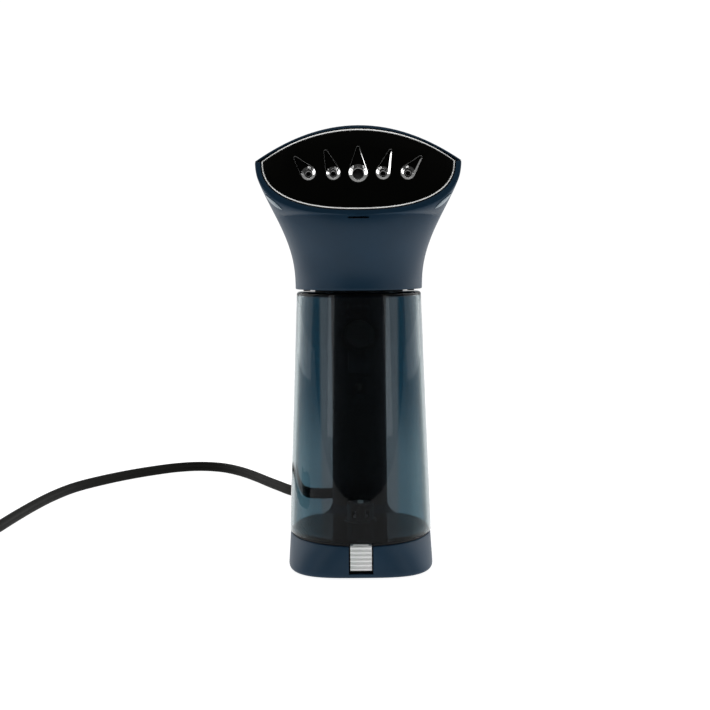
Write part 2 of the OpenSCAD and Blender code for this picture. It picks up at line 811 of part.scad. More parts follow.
module valve_poppet() {
    color([0.85, 0.85, 0.83]) translate([0, valve_y, 0]) {
        translate([0, 0, tank_z + 0.2]) cylinder(r = 2, h = 15.5);
        translate([0, 0, floor_top + 1.5]) cylinder(r = 5.4, h = 1.6);
    }
}

module valve_spring() {
    color([0.8, 0.8, 0.8]) translate([0, valve_y, floor_top + 3.1])
        coil_spring(3.6, 0.5, guide_z - floor_top - 3.1, 4);
}

module valve_seal() {
    color([0.06, 0.06, 0.06]) translate([0, valve_y, floor_top]) difference() {
        cylinder(r = 6.9, h = 1.4);
        translate([0, 0, -1]) cylinder(r = 3.2, h = 4);
    }
}

// --------------------------------------------------------------------- base

foot_z = 0.4;
foot_r = 1.6;
plate_z = 1.2;
plate_top = 3.2;
base_screw_at = [[-29, -12], [29, -12], [-7.6, 79], [7.6, 79]];
base_roof = base_top - shell_wall;

module base_shell() {
    color([0.13, 0.2, 0.29]) difference() {
        union() {
            difference() {
                mirrored_loft(concat(
                    [for (z = [foot_z, 0.6, 1, 2, 3.5, 5.5, 8, 11, 14, 17, 19.6]) base_ring(z, 0)],
                    [base_ring(base_top, 0.4)]));
                mirrored_loft([for (z = [foot_z - 2, foot_z, 0.6, 1, 2, 3.5, 8, 13, base_roof])
                               base_ring(z, shell_wall)]);
            }
            for (p = base_screw_at) translate([p[0], p[1], plate_top])
                cylinder(r = 3.4, h = base_roof - plate_top + 0.5);
        }
        for (p = base_screw_at) translate([p[0], p[1], plate_top - 1]) cylinder(r = 1.25, h = 11);
        translate([0, valve_y, base_roof - 1]) cylinder(r = 7, h = 6);
        translate([0, grip_y, base_roof - 1]) cylinder(r = 12, h = 6);
        translate([-latch_w / 2 - 0.95, -52, 2.9]) cube([latch_w + 1.9, 11.6, 30]);
        translate([0, 108, exit_z]) rotate([-90, 0, 0]) cylinder(r = 5.2, h = 20);
    }
}

module base_deck() {
    color([0.04, 0.04, 0.045]) difference() {
        intersection() {
            translate([0, 0, base_top]) cylinder(r = tank_r_low - 2.1, h = deck_top - base_top, $fn = 128);
            translate([-60, -60, 0]) cube([120, 94, 60]);
        }
        translate([0, valve_y, base_top - 1]) cylinder(r = 7, h = 4);
        translate([-latch_w / 2 - 0.45, -60, base_top - 1]) cube([latch_w + 0.9, 19.6, 4]);
    }
}

module flat_outline(z, inset, from, to) {
    half = base_ring(z, inset);
    full = concat([for (p = half) [p[0], p[1]]],
                  [for (i = [len(half) - 1:-1:0]) [-half[i][0], half[i][1]]]);
    translate([0, 0, from]) linear_extrude(to - from) polygon(full);
}

module base_plate() {
    color([0.06, 0.06, 0.065]) difference() {
        flat_outline(foot_z, shell_wall + 0.2, plate_z, plate_top);
        for (p = base_screw_at) translate([p[0], p[1], 0]) {
            cylinder(r = 1.25, h = 6);
            cylinder(r = 2.7, h = plate_z + 1.4);
        }
        translate([-latch_w / 2 - 0.95, -52, 0]) cube([latch_w + 1.9, 11.6, 10]);
    }
}

module base_pad() {
    color([0.03, 0.03, 0.03]) flat_outline(foot_z, shell_wall + 0.6, 0, plate_z);
}

module tank_latch() {
    pitch = 2.62;
    color([0.75, 0.76, 0.77]) difference() {
        union() {
            translate([-latch_w / 2, latch_front_y, 5.2]) cube([latch_w, 5.9, 16.1]);
            translate([-4.85, -45.2, 21]) cube([9.7, 4.2, 0.9]);
            translate([-4, -41.5, 12]) cube([8, 8.3, 2]);
        }
        for (i = [0:5]) translate([-8, latch_front_y - SKIN, 5.2 + pitch * (i + 0.72)])
            cube([16, 0.9, 0.75]);
    }
}

module latch_spring() {
    color([0.8, 0.8, 0.8]) translate([0, -36.6, plate_top]) coil_spring(2.5, 0.6, 12 - plate_top, 6);
}

module water_coupling() {
    color([0.1, 0.1, 0.1]) difference() {
        union() {
            translate([0, valve_y, 7]) cylinder(r = 7, h = deck_top - 7);
            translate([0, valve_y, 14.5]) cylinder(r = 9.5, h = base_roof - 14.5);
            translate([0, valve_y, 12]) rotate([-90, 0, 0]) cylinder(r = 2.6, h = 13);
        }
        translate([0, valve_y, 9]) cylinder(r = 3.5, h = 20);
        translate([0, valve_y, 12]) rotate([-90, 0, 0]) cylinder(r = 1.6, h = 20);
        translate([0, valve_y, deck_top - 1]) cylinder(r = 6.2, h = 2);
    }
}

module coupling_seal() {
    color([0.5, 0.14, 0.1]) translate([0, valve_y, deck_top - 1]) difference() {
        cylinder(r = 6.2, h = 1);
        translate([0, 0, -1]) cylinder(r = 4.4, h = 3);
    }
}

module inlet_filter() {
    color([0.8, 0.8, 0.78]) translate([0, valve_y, 16]) difference() {
        cylinder(r = 3.5, h = 1);
        translate([0, 0, -1]) {
            cylinder(r = 0.5, h = 3);
            for (a = [0:60:300]) rotate([0, 0, a]) translate([1.9, 0, 0]) cylinder(r = 0.5, h = 3);
        }
    }
}

module base_screws() {
    color([0.7, 0.7, 0.7]) for (p = base_screw_at) screw([p[0], p[1], plate_z + 1.4], 9);
}

// --------------------------------------------------------------------- cord

module strain_relief() {
    flange_y = 111.6;
    color([0.03, 0.03, 0.03]) translate([0, 0, exit_z]) rotate([-90, 0, 0]) rotate_extrude()
        polygon(concat(
            [[0, flange_y], [5.8, flange_y], [5.8, flange_y + 2.4], [5.2, flange_y + 2.4],
             [5.2, back_y + 0.6], [6.9, back_y + 0.6]],
            [for (i = [0:4]) let (y = back_y + 4 + 4.6 * i, r = 6.7 - 0.27 * i)
             each [[r, y], [r - 0.9, y + 0.5], [r - 0.9, y + 1.5], [r - 0.1, y + 2]]],
            [[5.3, exit_y], [0, exit_y]]
        ));
}

module power_cord() {
    color([0.02, 0.02, 0.02]) swept(smooth(route, 2), cord_w, cord_t, 10);
}

module cord_end() {
    color([0.02, 0.02, 0.02]) swept(smooth(end_route, 2), cord_w, cord_t, 10);
}

coil_in = coil_r - 1.5 * coil_pitch;
coil_out = coil_r + 1.5 * coil_pitch;
coil_high = coil_low + 2 * coil_pitch + 0.2;

module cord_coil() {
    color([0.02, 0.02, 0.02]) translate([coil_at[0], coil_at[1], 0]) rotate_extrude($fn = 72)
        translate([coil_in, coil_low]) square([coil_out - coil_in, coil_high - coil_low]);
}

module cord_tie() {
    t = 0.8;
    color([0.05, 0.05, 0.05]) translate([coil_at[0], coil_at[1], 0]) rotate([0, 0, 250])
        rotate_extrude(angle = 15, $fn = 72) difference() {
            translate([coil_in - t, coil_low - t])
                square([coil_out - coil_in + 2 * t, coil_high - coil_low + 2 * t]);
            translate([coil_in, coil_low]) square([coil_out - coil_in, coil_high - coil_low]);
        }
}

module plug_body() {
    color([0.03, 0.03, 0.03]) translate(plug_at) rotate([-90, 0, 0]) {
        cylinder(r1 = 5.2, r2 = 6.4, h = 10);
        hull() {
            translate([0, 0, 10]) cylinder(r = 6.4, h = 1, $fn = 32);
            for (x = [-5, 5]) translate([x, 0, 18]) cylinder(r = plug_r, h = 1, $fn = 32);
        }
        hull() for (x = [-5, 5]) translate([x, 0, 19]) cylinder(r = plug_r, h = 11, $fn = 32);
    }
}

module plug_blades() {
    color([0.8, 0.78, 0.7]) translate([plug_at[0], plug_at[1] + 30, plug_at[2]])
        for (b = [[-6.35, 7.9], [6.35, 6.35]])
            translate([b[0] - 0.75, 0, -b[1] / 2]) cube([1.5, 17, b[1]]);
}

head_shroud();
head_cover();
neck_plate();
tank_bumpers();
steam_plate();
plate_bezel();
nozzle_inserts();
plate_gasket();
boiler_block();
boiler_cover();
heating_element();
thermostat();
thermal_fuse();
heat_shield();
head_screws();
brush_catches();
power_button();
indicator_lens();
grip_front();
grip_rear();
trigger();
trigger_pin();
trigger_spring();
microswitch();
switch_plunger();
steam_lock();
pump();
pump_mounts();
inlet_hose();
outlet_hose();
control_board();
grip_screws();
tank_body();
tank_floor();
filler_plug();
valve_housing();
valve_poppet();
valve_spring();
valve_seal();
base_shell();
base_deck();
base_plate();
base_pad();
tank_latch();
latch_spring();
water_coupling();
coupling_seal();
inlet_filter();
base_screws();
strain_relief();
power_cord();
cord_end();
cord_coil();
cord_tie();
plug_body();
plug_blades();
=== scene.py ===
import json
import math

import bmesh
import bpy
from mathutils import Matrix, Vector

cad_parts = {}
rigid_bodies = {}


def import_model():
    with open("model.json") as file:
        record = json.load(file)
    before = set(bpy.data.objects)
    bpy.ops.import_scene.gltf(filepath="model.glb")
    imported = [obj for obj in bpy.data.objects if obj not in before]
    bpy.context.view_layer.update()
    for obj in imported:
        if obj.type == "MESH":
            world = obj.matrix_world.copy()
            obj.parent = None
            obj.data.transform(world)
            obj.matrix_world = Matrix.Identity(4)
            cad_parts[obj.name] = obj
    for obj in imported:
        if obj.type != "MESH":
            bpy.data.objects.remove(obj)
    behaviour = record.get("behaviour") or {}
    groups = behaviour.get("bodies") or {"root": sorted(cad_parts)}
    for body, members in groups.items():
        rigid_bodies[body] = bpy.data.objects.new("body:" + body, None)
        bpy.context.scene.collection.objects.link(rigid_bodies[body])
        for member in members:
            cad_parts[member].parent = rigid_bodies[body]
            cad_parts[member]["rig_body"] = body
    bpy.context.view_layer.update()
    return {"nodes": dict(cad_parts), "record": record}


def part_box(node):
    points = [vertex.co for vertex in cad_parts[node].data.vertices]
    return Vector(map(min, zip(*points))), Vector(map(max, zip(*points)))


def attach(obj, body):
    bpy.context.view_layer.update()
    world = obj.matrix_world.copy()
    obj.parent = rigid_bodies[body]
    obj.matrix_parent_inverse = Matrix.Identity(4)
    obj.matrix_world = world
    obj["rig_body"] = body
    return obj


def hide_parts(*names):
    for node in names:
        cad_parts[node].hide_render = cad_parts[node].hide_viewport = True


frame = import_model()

# ------------------------------------------------------------------ places
# Sizes are in millimetres in the frame's own axes and become metres in mesh().
MM = 0.001
# Faces that meet below this angle in degrees are shaded as one.
SMOOTH = 35


def span(node):
    """Lowest and highest corner of a CAD node in millimetres."""
    low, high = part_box(node)
    return [c / MM for c in low], [c / MM for c in high]


SEAM = 0.25
NECK_HW = 41.1
FACE_HW = 62.3
CORNER_RISE = 78.2
FACE_DROP = 32.0
FACE_CROWN = 22.3
FACE_TILT = math.radians(12)
SHELL_WALL = 2.4
BASE_HW = 47.2
FOOT_Z = 0.4
FOOT_R = 1.6
TAIL_Y = 85.0
TAIL_HW = 22.0
GRIP_HW = 20.7
TANK_WALL = 2.2
TANK_R_LOW = 46.6
TANK_R_HIGH = 40.4
REAR_LOW_Y = 36.0
REAR_HIGH_Y = 29.0

NECK_Z = span("head_shroud")[0][2]
BACK_Y = span("head_shroud")[1][1]
TANK_Z = span("tank_body")[0][2]
TANK_TOP = span("tank_body")[1][2]
BASE_TOP = span("base_shell")[1][2]
CORNER_Z = NECK_Z + CORNER_RISE
FACE_LOW_Z = CORNER_Z - FACE_DROP
FACE_LOW_Y = -60.0
FACE_CORNER_Y = FACE_LOW_Y + FACE_DROP * math.tan(FACE_TILT)
RIM_LEVEL = (CORNER_RISE - FACE_DROP) / CORNER_RISE
EXIT_Y = span("strain_relief")[1][1]
EXIT_Z = 12.0


# --------------------------------------------------------------- functions
def lerp(a, b, t):
    return a + (b - a) * t


def clamp(t):
    return min(1.0, max(0.0, t))


def ease(t):
    return 0.5 - 0.5 * math.cos(math.pi * clamp(t))


def shade(obj, angle):
    obj.data.shade_smooth()
    obj.data.set_sharp_from_angle(angle=math.radians(angle))


def outward(obj, gap=0.0):
    """Joins points closer than a gap in metres and turns a closed mesh's faces outward."""
    work = bmesh.new()
    work.from_mesh(obj.data)
    if gap:
        bmesh.ops.remove_doubles(work, verts=work.verts, dist=gap)
    bmesh.ops.recalc_face_normals(work, faces=work.faces)
    work.to_mesh(obj.data)
    work.free()


def mesh(name, points, faces, smooth=SMOOTH, body="frame"):
    """A closed mesh from millimetre points, smooth where faces meet below the angle."""
    data = bpy.data.meshes.new(name)
    data.from_pydata([[c * MM for c in p] for p in points], [], faces)
    data.validate()
    obj = bpy.data.objects.new(name, data)
    bpy.context.scene.collection.objects.link(obj)
    shade(obj, smooth)
    if body:
        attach(obj, body)
    outward(obj)
    return obj


def apply_modifiers(obj):
    bpy.context.view_layer.update()
    graph = bpy.context.evaluated_depsgraph_get()
    baked = bpy.data.meshes.new_from_object(obj.evaluated_get(graph))
    obj.modifiers.clear()
    obj.data = baked
    shade(obj, SMOOTH)


def cut(obj, *tools, keep_inside=False):
    """Cuts away what is inside closed tool meshes, or outside them, and removes the tools."""
    for tool in tools:
        change = obj.modifiers.new("cut", "BOOLEAN")
        change.operation = "INTERSECT" if keep_inside else "DIFFERENCE"
        change.solver = "MANIFOLD"
        change.object = tool
        apply_modifiers(obj)
        bpy.data.objects.remove(tool)


def loft(rings, closed_ends=True):
    """Points and faces through full rings of points."""
    n = len(rings[0])
    points = [p for ring in rings for p in ring]
    faces = []
    for i in range(len(rings) - 1):
        for j in range(n):
            a, b = i * n + j, i * n + (j + 1) % n
            faces.append((a, b, b + n, a + n))
    if closed_ends:
        faces.append(tuple(range(n - 1, -1, -1)))
        faces.append(tuple((len(rings) - 1) * n + j for j in range(n)))
    return points, faces


def mirrored(half):
    """A full ring from a half outline that runs from the front round to the back."""
    return list(half) + [(-p[0], p[1], p[2]) for p in reversed(half)]


def capped(rings):
    """A loft of mirrored rings whose ends are strips of quads."""
    points, faces = loft(rings, closed_ends=False)
    n = len(rings[0])
    m = n // 2
    top = (len(rings) - 1) * n
    for j in range(m - 1):
        faces.append((j, n - 1 - j, n - 2 - j, j + 1))
        faces.append((top + j, top + j + 1, top + n - 2 - j, top + n - 1 - j))
    return points, faces


def face_point(x, v, w):
    """A point given across, up and out of the tilted face."""
    c, s = math.sin(FACE_TILT), math.cos(FACE_TILT)
    return (x, FACE_CORNER_Y + v * c - w * s, CORNER_Z + v * s + w * c)


def eye(hw, low, crown, steps=72):
    """Eye-shaped outline: a superellipse below the corners and one arc above."""
    r = (hw * hw + crown * crown) / (2 * crown)
    a0 = math.asin(hw / r)
    n = 2.4
    ring = []
    for i in range(steps):
        a = math.pi + math.pi * i / steps
        c, s = math.cos(a), math.sin(a)
        ring.append((hw * math.copysign(abs(c) ** (2 / n), c), -low * abs(s) ** (2 / n)))
    for i in range(steps // 2):
        a = lerp(a0, -a0, 2 * i / steps)
        ring.append((r * math.sin(a), crown - r + r * math.cos(a)))
    return ring


# ---------------------------------------------------------------- materials
FINISH = {}


def fill(tree, node, **inputs):
    """Joins a node's inputs to other nodes' outputs, or gives them plain values."""
    for key, value in inputs.items():
        place = node.inputs[key.replace("_", " ")]
        if isinstance(value, bpy.types.NodeSocket):
            tree.links.new(value, place)
        else:
            place.default_value = value
    return node


def add(tree, kind, **settings):
    """A new shader node; small-letter settings are its options, the others fill its inputs."""
    made = tree.nodes.new("ShaderNode" + kind)
    for key in [k for k in settings if k.islower()]:
        setattr(made, key, settings.pop(key))
    return fill(tree, made, **settings)


def math_node(tree, operation, *values):
    made = add(tree, "Math", operation=operation)
    for place, value in zip(made.inputs, values):
        tree.links.new(value, place)
    return made.outputs["Value"]


def blank(name):
    """A new material with its node tree and its shader."""
    made = bpy.data.materials.new(name)
    made.use_nodes = True
    return made, made.node_tree, made.node_tree.nodes["Principled BSDF"]


def surface(name, colour, rough, metal=0.0, tone=0.1, patch=35.0, grain=2500.0, bump=0.03,
            rough_swing=0.06, wear=0.0, streak=None, **extra):
    """A finish with mottled colour and roughness, a fine grain, and paler worn edges."""
    FINISH[name], tree, shader = blank(name)
    place = add(tree, "TexCoord").outputs["Object"]
    if streak:
        place = add(tree, "Mapping", Scale=streak, Vector=place).outputs["Vector"]
    broad = add(tree, "TexNoise", Scale=patch, Detail=5.0, Vector=place).outputs["Fac"]
    tint = add(tree, "ValToRGB", Fac=broad)
    for stop, at, share in zip(tint.color_ramp.elements, (0.3, 0.7), (1 - tone, 1 + tone)):
        stop.position = at
        stop.color = [min(1, c * share) for c in colour] + [1]
    shown = tint.outputs["Color"]
    if wear:
        about = add(tree, "NewGeometry").outputs["Pointiness"]
        edge = add(tree, "MapRange", Value=about, From_Min=0.52, From_Max=0.62, To_Max=wear)
        worn = [min(1, 0.06 + 1.7 * c) for c in colour] + [1]
        shown = add(tree, "Mix", data_type="RGBA", Factor=edge.outputs["Result"], A=shown,
                    B=worn).outputs["Result"]
    swing = add(tree, "MapRange", Value=broad, To_Min=max(0.01, rough - rough_swing),
                To_Max=min(1, rough + rough_swing))
    if bump:
        fine = add(tree, "TexNoise", Scale=grain, Detail=3.0, Vector=place)
        relief = add(tree, "Bump", Strength=bump, Distance=0.0004, Height=fine.outputs["Fac"])
        fill(tree, shader, Normal=relief.outputs["Normal"])
    fill(tree, shader, Base_Color=shown, Roughness=swing.outputs["Result"], Metallic=metal, **extra)


surface("navy_shell", (0.007, 0.033, 0.066), 0.45, bump=0.06, wear=0.2, Specular_IOR_Level=0.25)
surface("black_shell", (0.004, 0.0045, 0.006), 0.5, bump=0.08, wear=0.1, Specular_IOR_Level=0.25)
surface("black_rubber", (0.008, 0.008, 0.0085), 0.75, bump=0.15)
surface("sole_coating", (0.0016, 0.0016, 0.0012), 0.3, grain=5000, bump=0.04,
        Specular_IOR_Level=0.12)
surface("bright_trim", (0.82, 0.82, 0.80), 0.16, metal=1.0, bump=0.01)
surface("cast_metal", (0.55, 0.56, 0.57), 0.5, metal=1.0, bump=0.2)
surface("steel", (0.62, 0.62, 0.63), 0.28, metal=1.0, bump=0.02)
surface("insert_blue", (0.13, 0.20, 0.25), 0.22, bump=0.01, Coat_Weight=0.4)
surface("button_black", (0.010, 0.011, 0.013), 0.3, bump=0.03, wear=0.2)
surface("lens_amber", (0.85, 0.28, 0.04), 0.15, bump=0.0, Coat_Weight=0.5)
surface("trigger_grey", (0.014, 0.017, 0.021), 0.38, bump=0.06, wear=0.3)
surface("silver_plastic", (0.95, 0.99, 0.97), 0.3, metal=0.2, bump=0.03)
surface("red_plastic", (0.55, 0.05, 0.03), 0.4, bump=0.03)
surface("white_plastic", (0.72, 0.72, 0.68), 0.42, bump=0.04)
surface("hose_silicone", (0.62, 0.63, 0.60), 0.4, bump=0.04, Subsurface_Weight=0.2)
surface("seal_red", (0.30, 0.03, 0.02), 0.55, bump=0.06)
surface("board_green", (0.02, 0.14, 0.06), 0.35, bump=0.1)
surface("cord_black", (0.005, 0.005, 0.004), 0.6, bump=0.1, patch=90.0, Specular_IOR_Level=0.1)
surface("blade_brass", (0.62, 0.60, 0.55), 0.3, metal=1.0, bump=0.02, streak=(1, 0.1, 1))

# variants worn by single pieces of a slot; the three trims are darker and brighter copies of the
# bright trim, painted shade and painted highlight
# painted shade: a dark copy of the polished trim for the nozzle bores and channel lips
surface("painted_shade_trim", (0.20, 0.20, 0.20), 0.22, metal=1.0, bump=0.01)
# painted highlight: a paler, less metallic copy of the trim so the bezel reads as a bright line
surface("satin_highlight_trim", (0.90, 0.90, 0.88), 0.24, metal=0.75, bump=0.01)
# painted highlight: a brighter copy of the polished trim so the nozzle dishes and channel walls glint
# white
surface("painted_highlight_trim", (0.98, 0.98, 0.96), 0.13, metal=1.0, bump=0.0)
surface("lock_grey", (0.02, 0.022, 0.024), 0.45, bump=0.05, wear=0.2)


def smoke():
    """Smoky blue clear plastic; each wall dims what is behind it. Its colour also holds painted light
    and shade: paler at the side edges, and darker, bluer strips on the rounded rear walls that darken
    towards the top.
    """
    FINISH["smoke_tank"], tree, shader = blank("smoke_tank")
    place = add(tree, "TexCoord").outputs["Object"]
    x, y, z = add(tree, "SeparateXYZ", Vector=place).outputs
    beside = math_node(tree, "ABSOLUTE", x)

    def ramp(value, low, high):
        return add(tree, "MapRange", interpolation_type="SMOOTHSTEP", Value=value, From_Min=low,
                   From_Max=high).outputs["Result"]

    def blend(amount, start, end):
        return add(tree, "Mix", data_type="RGBA", Factor=amount, A=start, B=end).outputs["Result"]

    # painted light and shade: paler near the side edges; strips on the rounded rear walls are darker
    # and bluer, and darken further towards the top
    tint = blend(ramp(beside, 0.029, 0.037), (0.205, 0.240, 0.262, 1), (0.290, 0.345, 0.360, 1))
    painted_shade_strip = math_node(tree, "MULTIPLY", ramp(beside, 0.0255, 0.028), ramp(y, 0.004, 0.010))
    painted_deep_shade = blend(ramp(z, 0.055, 0.115), (0.145, 0.265, 0.325, 1), (0.012, 0.088, 0.142, 1))
    cloud = add(tree, "TexNoise", Scale=14.0, Vector=place)
    haze = add(tree, "MapRange", Value=cloud.outputs["Fac"], To_Min=0.001, To_Max=0.006)
    # the painted shade strips take the place of the plain tint here
    fill(tree, shader, Base_Color=blend(painted_shade_strip, tint, painted_deep_shade), Roughness=haze.outputs["Result"],
         Transmission_Weight=1.0, IOR=1.2)


smoke()
SLOT_OF = {part["node"]: part["material_slot"] for part in frame["record"]["subparts"]}


def dress(obj, slot, finish=None):
    """Gives a piece its slot's finish, or a variant of it."""
    obj.data.materials.clear()
    obj.data.materials.append(FINISH[finish or slot])
    return obj


# --------------------------------------------------------------------- cord
CORD_W = 8.6
CORD_T = 4.6
LIE_Z = CORD_W / 2
PLUG_R = 7.6
ROUTE = [
    (0, 148, 12), (0, 157, 12), (-4, 169, 11), (-13, 180, 9.5), (-25, 189, 7.5),
    (-37, 197, 5.8), (-49, 207, 4.7), (-59, 220, LIE_Z), (-68, 236, LIE_Z),
    (-79, 256, LIE_Z), (-92, 281, LIE_Z), (-107, 306, LIE_Z), (-123, 325, LIE_Z),
    (-138, 334, LIE_Z), (-153, 336, LIE_Z), (-167, 332, LIE_Z), (-181, 323, LIE_Z),
    (-204, 301, LIE_Z), (-226, 272, LIE_Z), (-244, 239, LIE_Z), (-254, 203, LIE_Z),
    (-260, 164, LIE_Z), (-264, 124, LIE_Z), (-267, 86, LIE_Z), (-271, 58, 4.7),
    (-275, 34, 5.1),
]
END_ROUTE = [
    (-387, 34, 13.9), (-387, 48, 13.3), (-388, 62, 11.6), (-390, 76, 9.3),
    (-391, 88, 8), (-391, 98, PLUG_R),
]
COIL_AT = (-331, 34)
COIL_OUT = 56.0
COIL_IN = 38.5
LAYER = 8.8
COIL_LOW = 5.1


def spline(points, steps):
    """Smooth curve through route points."""
    p = [Vector(q) for q in points]
    line = []
    for i in range(len(p) - 1):
        a, b, c, d = p[max(0, i - 1)], p[i], p[i + 1], p[min(len(p) - 1, i + 2)]
        for k in range(steps):
            t = k / steps
            line.append(0.5 * (2 * b + (c - a) * t + (2 * a - 5 * b + 4 * c - d) * t * t
                               + (3 * b - a - 3 * c + d) * t * t * t))
    line.append(p[-1])
    return line


def coil_line():
    """Two turns inward on the floor, a climb, and two turns outward on top."""
    inward, climb, turns, steps = 2.0, 2.6, 4.5, 72
    line = []
    for i in range(1, int(turns * steps)):
        t = i / steps
        if t < inward:
            r, z = lerp(COIL_OUT, COIL_IN, t / inward), COIL_LOW
        elif t < climb:
            r, z = COIL_IN, COIL_LOW + LAYER * ease((t - inward) / (climb - inward))
        else:
            r, z = lerp(COIL_IN, COIL_OUT, (t - climb) / (turns - climb)), COIL_LOW + LAYER
        a = -2 * math.pi * t
        line.append(Vector((COIL_AT[0] + r * math.cos(a), COIL_AT[1] + r * math.sin(a), z)))
    return line


def length_of(line):
    return sum((b - a).length for a, b in zip(line, line[1:]))


def even(line, gap):
    """The same line with points an even gap apart."""
    total = length_of(line)
    count = round(total / gap)
    made, walked, i = [line[0]], 0.0, 0
    for k in range(1, count):
        goal = total * k / count
        while walked + (line[i + 1] - line[i]).length < goal:
            walked += (line[i + 1] - line[i]).length
            i += 1
        step = line[i + 1] - line[i]
        made.append(line[i] + step * ((goal - walked) / step.length))
    made.append(line[-1])
    return made


def twin_section(steps=28):
    """Two round cores side by side with a groove between them, w upright and t across."""
    r = CORD_T / 2
    offset = CORD_W / 2 - r
    ring = []
    for i in range(steps):
        a = 2 * math.pi * i / steps
        c, s = math.cos(a), math.sin(a)
        up = offset * s + r * s
        side = r * math.copysign(abs(c) ** 0.55, c)
        groove = 0.55 * math.exp(-(up / 0.9) ** 2)
        ring.append((side - math.copysign(groove, c) if abs(side) > groove else side, up))
    return ring


def tube(line, section):
    """Rings of a section carried upright along a line."""
    rings = []
    for i, p in enumerate(line):
        ahead = (line[min(len(line) - 1, i + 1)] - line[max(0, i - 1)]).normalized()
        side = Vector((0, 0, 1)).cross(ahead).normalized()
        up = ahead.cross(side)
        rings.append([p + side * s + up * u for s, u in section])
    return rings


cord_line = even(spline(ROUTE, 8) + coil_line() + spline(END_ROUTE, 6), 3.5)
flex = mesh("flex", *loft(tube(cord_line, twin_section())), smooth=60)
dress(flex, "cord_black")
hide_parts("power_cord", "cord_end", "cord_coil")

# ------------------------------------------------------------------- camera
CAMERA_AT = (-0.0028, -0.791, 0.2048)
CAMERA_PITCH = 85.1
CAMERA_YAW = -0.45
CAMERA_LENS = 61.5
camera = bpy.data.objects.new("camera", bpy.data.cameras.new("camera"))
bpy.context.scene.collection.objects.link(camera)
camera.matrix_world = (Matrix.Translation(CAMERA_AT)
                       @ Matrix.Rotation(math.radians(CAMERA_PITCH), 4, "X")
                       @ Matrix.Rotation(math.radians(CAMERA_YAW), 4, "Z"))
camera.data.lens = CAMERA_LENS
camera.data.clip_start = 0.05
bpy.context.scene.camera = camera
bpy.context.scene.view_settings.view_transform = "Standard"


# ----------------------------------------------------------------- outlines
def quarter(front, side, n, count):
    """A superellipse's quarter from the front round to the widest point."""
    made = []
    for i in range(count):
        u = math.pi / 2 * i / count
        made.append((front[0] + (side[0] - front[0]) * math.sin(u) ** (2 / n),
                     side[1] + (front[1] - side[1]) * math.cos(u) ** (2 / n)))
    return made


def back_outline(side, inset):
    """Behind the widest point the outline narrows to the tail and closes round."""
    made = []
    for i in range(30):
        y = lerp(side[1], TAIL_Y, i / 30)
        made.append((lerp(side[0], TAIL_HW - inset, ease((y - side[1]) / (TAIL_Y - side[1]))), y))
    for i in range(17):
        a = math.radians(85 * i / 16)
        made.append(((TAIL_HW - inset) * math.cos(a),
                     TAIL_Y + (BACK_Y - TAIL_Y - inset) * math.sin(a)))
    return made


def rounded_start(plan, reach):
    """Replaces a sharp first corner, between the flat front and the side, with an arc."""
    x0, y0 = plan[0]
    reach = min(reach, 0.45 * x0)
    rest = [p for p in plan[1:] if math.hypot(p[0] - x0, p[1] - y0) > reach]
    toward = rest[0]
    gap = math.hypot(toward[0] - x0, toward[1] - y0)
    far = (x0 + (toward[0] - x0) * reach / gap, y0 + (toward[1] - y0) * reach / gap)
    near = (x0 - reach, y0)
    arc = []
    for i in range(6):
        t = i / 5
        arc.append(tuple((1 - t) ** 2 * a + 2 * t * (1 - t) * b + t * t * c
                         for a, b, c in zip(near, (x0, y0), far)))
    missing = len(plan) - 1 - len(rest)
    filler = [tuple(lerp(a, b, (k + 1) / (missing + 1)) for a, b in zip(far, toward))
              for k in range(missing)]
    return arc + filler + rest


def part_rise(y):
    return CORNER_RISE - 42 * ease((y + 45) / (BACK_Y + 45))


def face_y(z):
    return FACE_LOW_Y + (z - FACE_LOW_Z) * math.tan(FACE_TILT)


def head_ring(level, inset, extra=0.0, soft=1.1):
    """Half outline of the head; level 0 is the underside and 1 the parting line. It is
    inset all round, extra is added to its height, and soft rounds its front corner."""
    v = (inset + level * (CORNER_RISE - inset)) / CORNER_RISE
    z_front = NECK_Z + v * CORNER_RISE
    hw = lerp(NECK_HW, FACE_HW, ease(clamp(v) ** 1.35)) - inset
    on_face = v > RIM_LEVEL
    fall = clamp((CORNER_Z - z_front) / FACE_DROP)
    front_x = max(0.5, FACE_HW * (1 - fall ** 2.4) ** (1 / 2.4) - inset) if on_face else 0.5
    neck_front = lerp(-NECK_HW, FACE_LOW_Y, ease(clamp(v / RIM_LEVEL) ** 1.2))
    front_y = (face_y(z_front) if on_face else neck_front) + inset
    side = (hw, lerp(0, -45, ease(v)))
    n = lerp(2, 2.3, clamp(v))
    plan = quarter((min(front_x, hw - 0.01), front_y), side, n, 36) + back_outline(side, inset)
    plan = rounded_start(plan, soft)
    return [(x, y, NECK_Z + inset + level * (part_rise(y) - inset) + extra) for x, y in plan]


def base_ring(z, inset):
    rise = z - FOOT_Z - FOOT_R
    foot = FOOT_R - math.sqrt(max(0.0, FOOT_R ** 2 - rise ** 2)) if rise < 0 else 0.04 * rise
    d = foot + inset
    n = lerp(3.4, 2.1, clamp((z - 3) / 17))
    side = (BASE_HW - d, 8)
    return [(x, y, z) for x, y in quarter((0.5, -46.6 + d), side, n, 48) + back_outline(side, d)]


def grip_ring(z, inset, count=96):
    t = clamp((z - BASE_TOP) / (NECK_Z - BASE_TOP))
    waist = 1.8 * math.sin(math.pi * t)
    front = 78 + waist + inset
    back = BACK_Y - 1 - waist - inset
    hw = GRIP_HW - 0.4 * math.sin(math.pi * t) - inset
    ring = []
    for i in range(count):
        a = 2 * math.pi * i / count
        c, s = math.cos(a), math.sin(a)
        ring.append((hw * math.copysign(abs(c) ** 0.8, c),
                     (front + back) / 2 + (back - front) / 2 * math.copysign(abs(s) ** 0.8, s), z))
    return ring


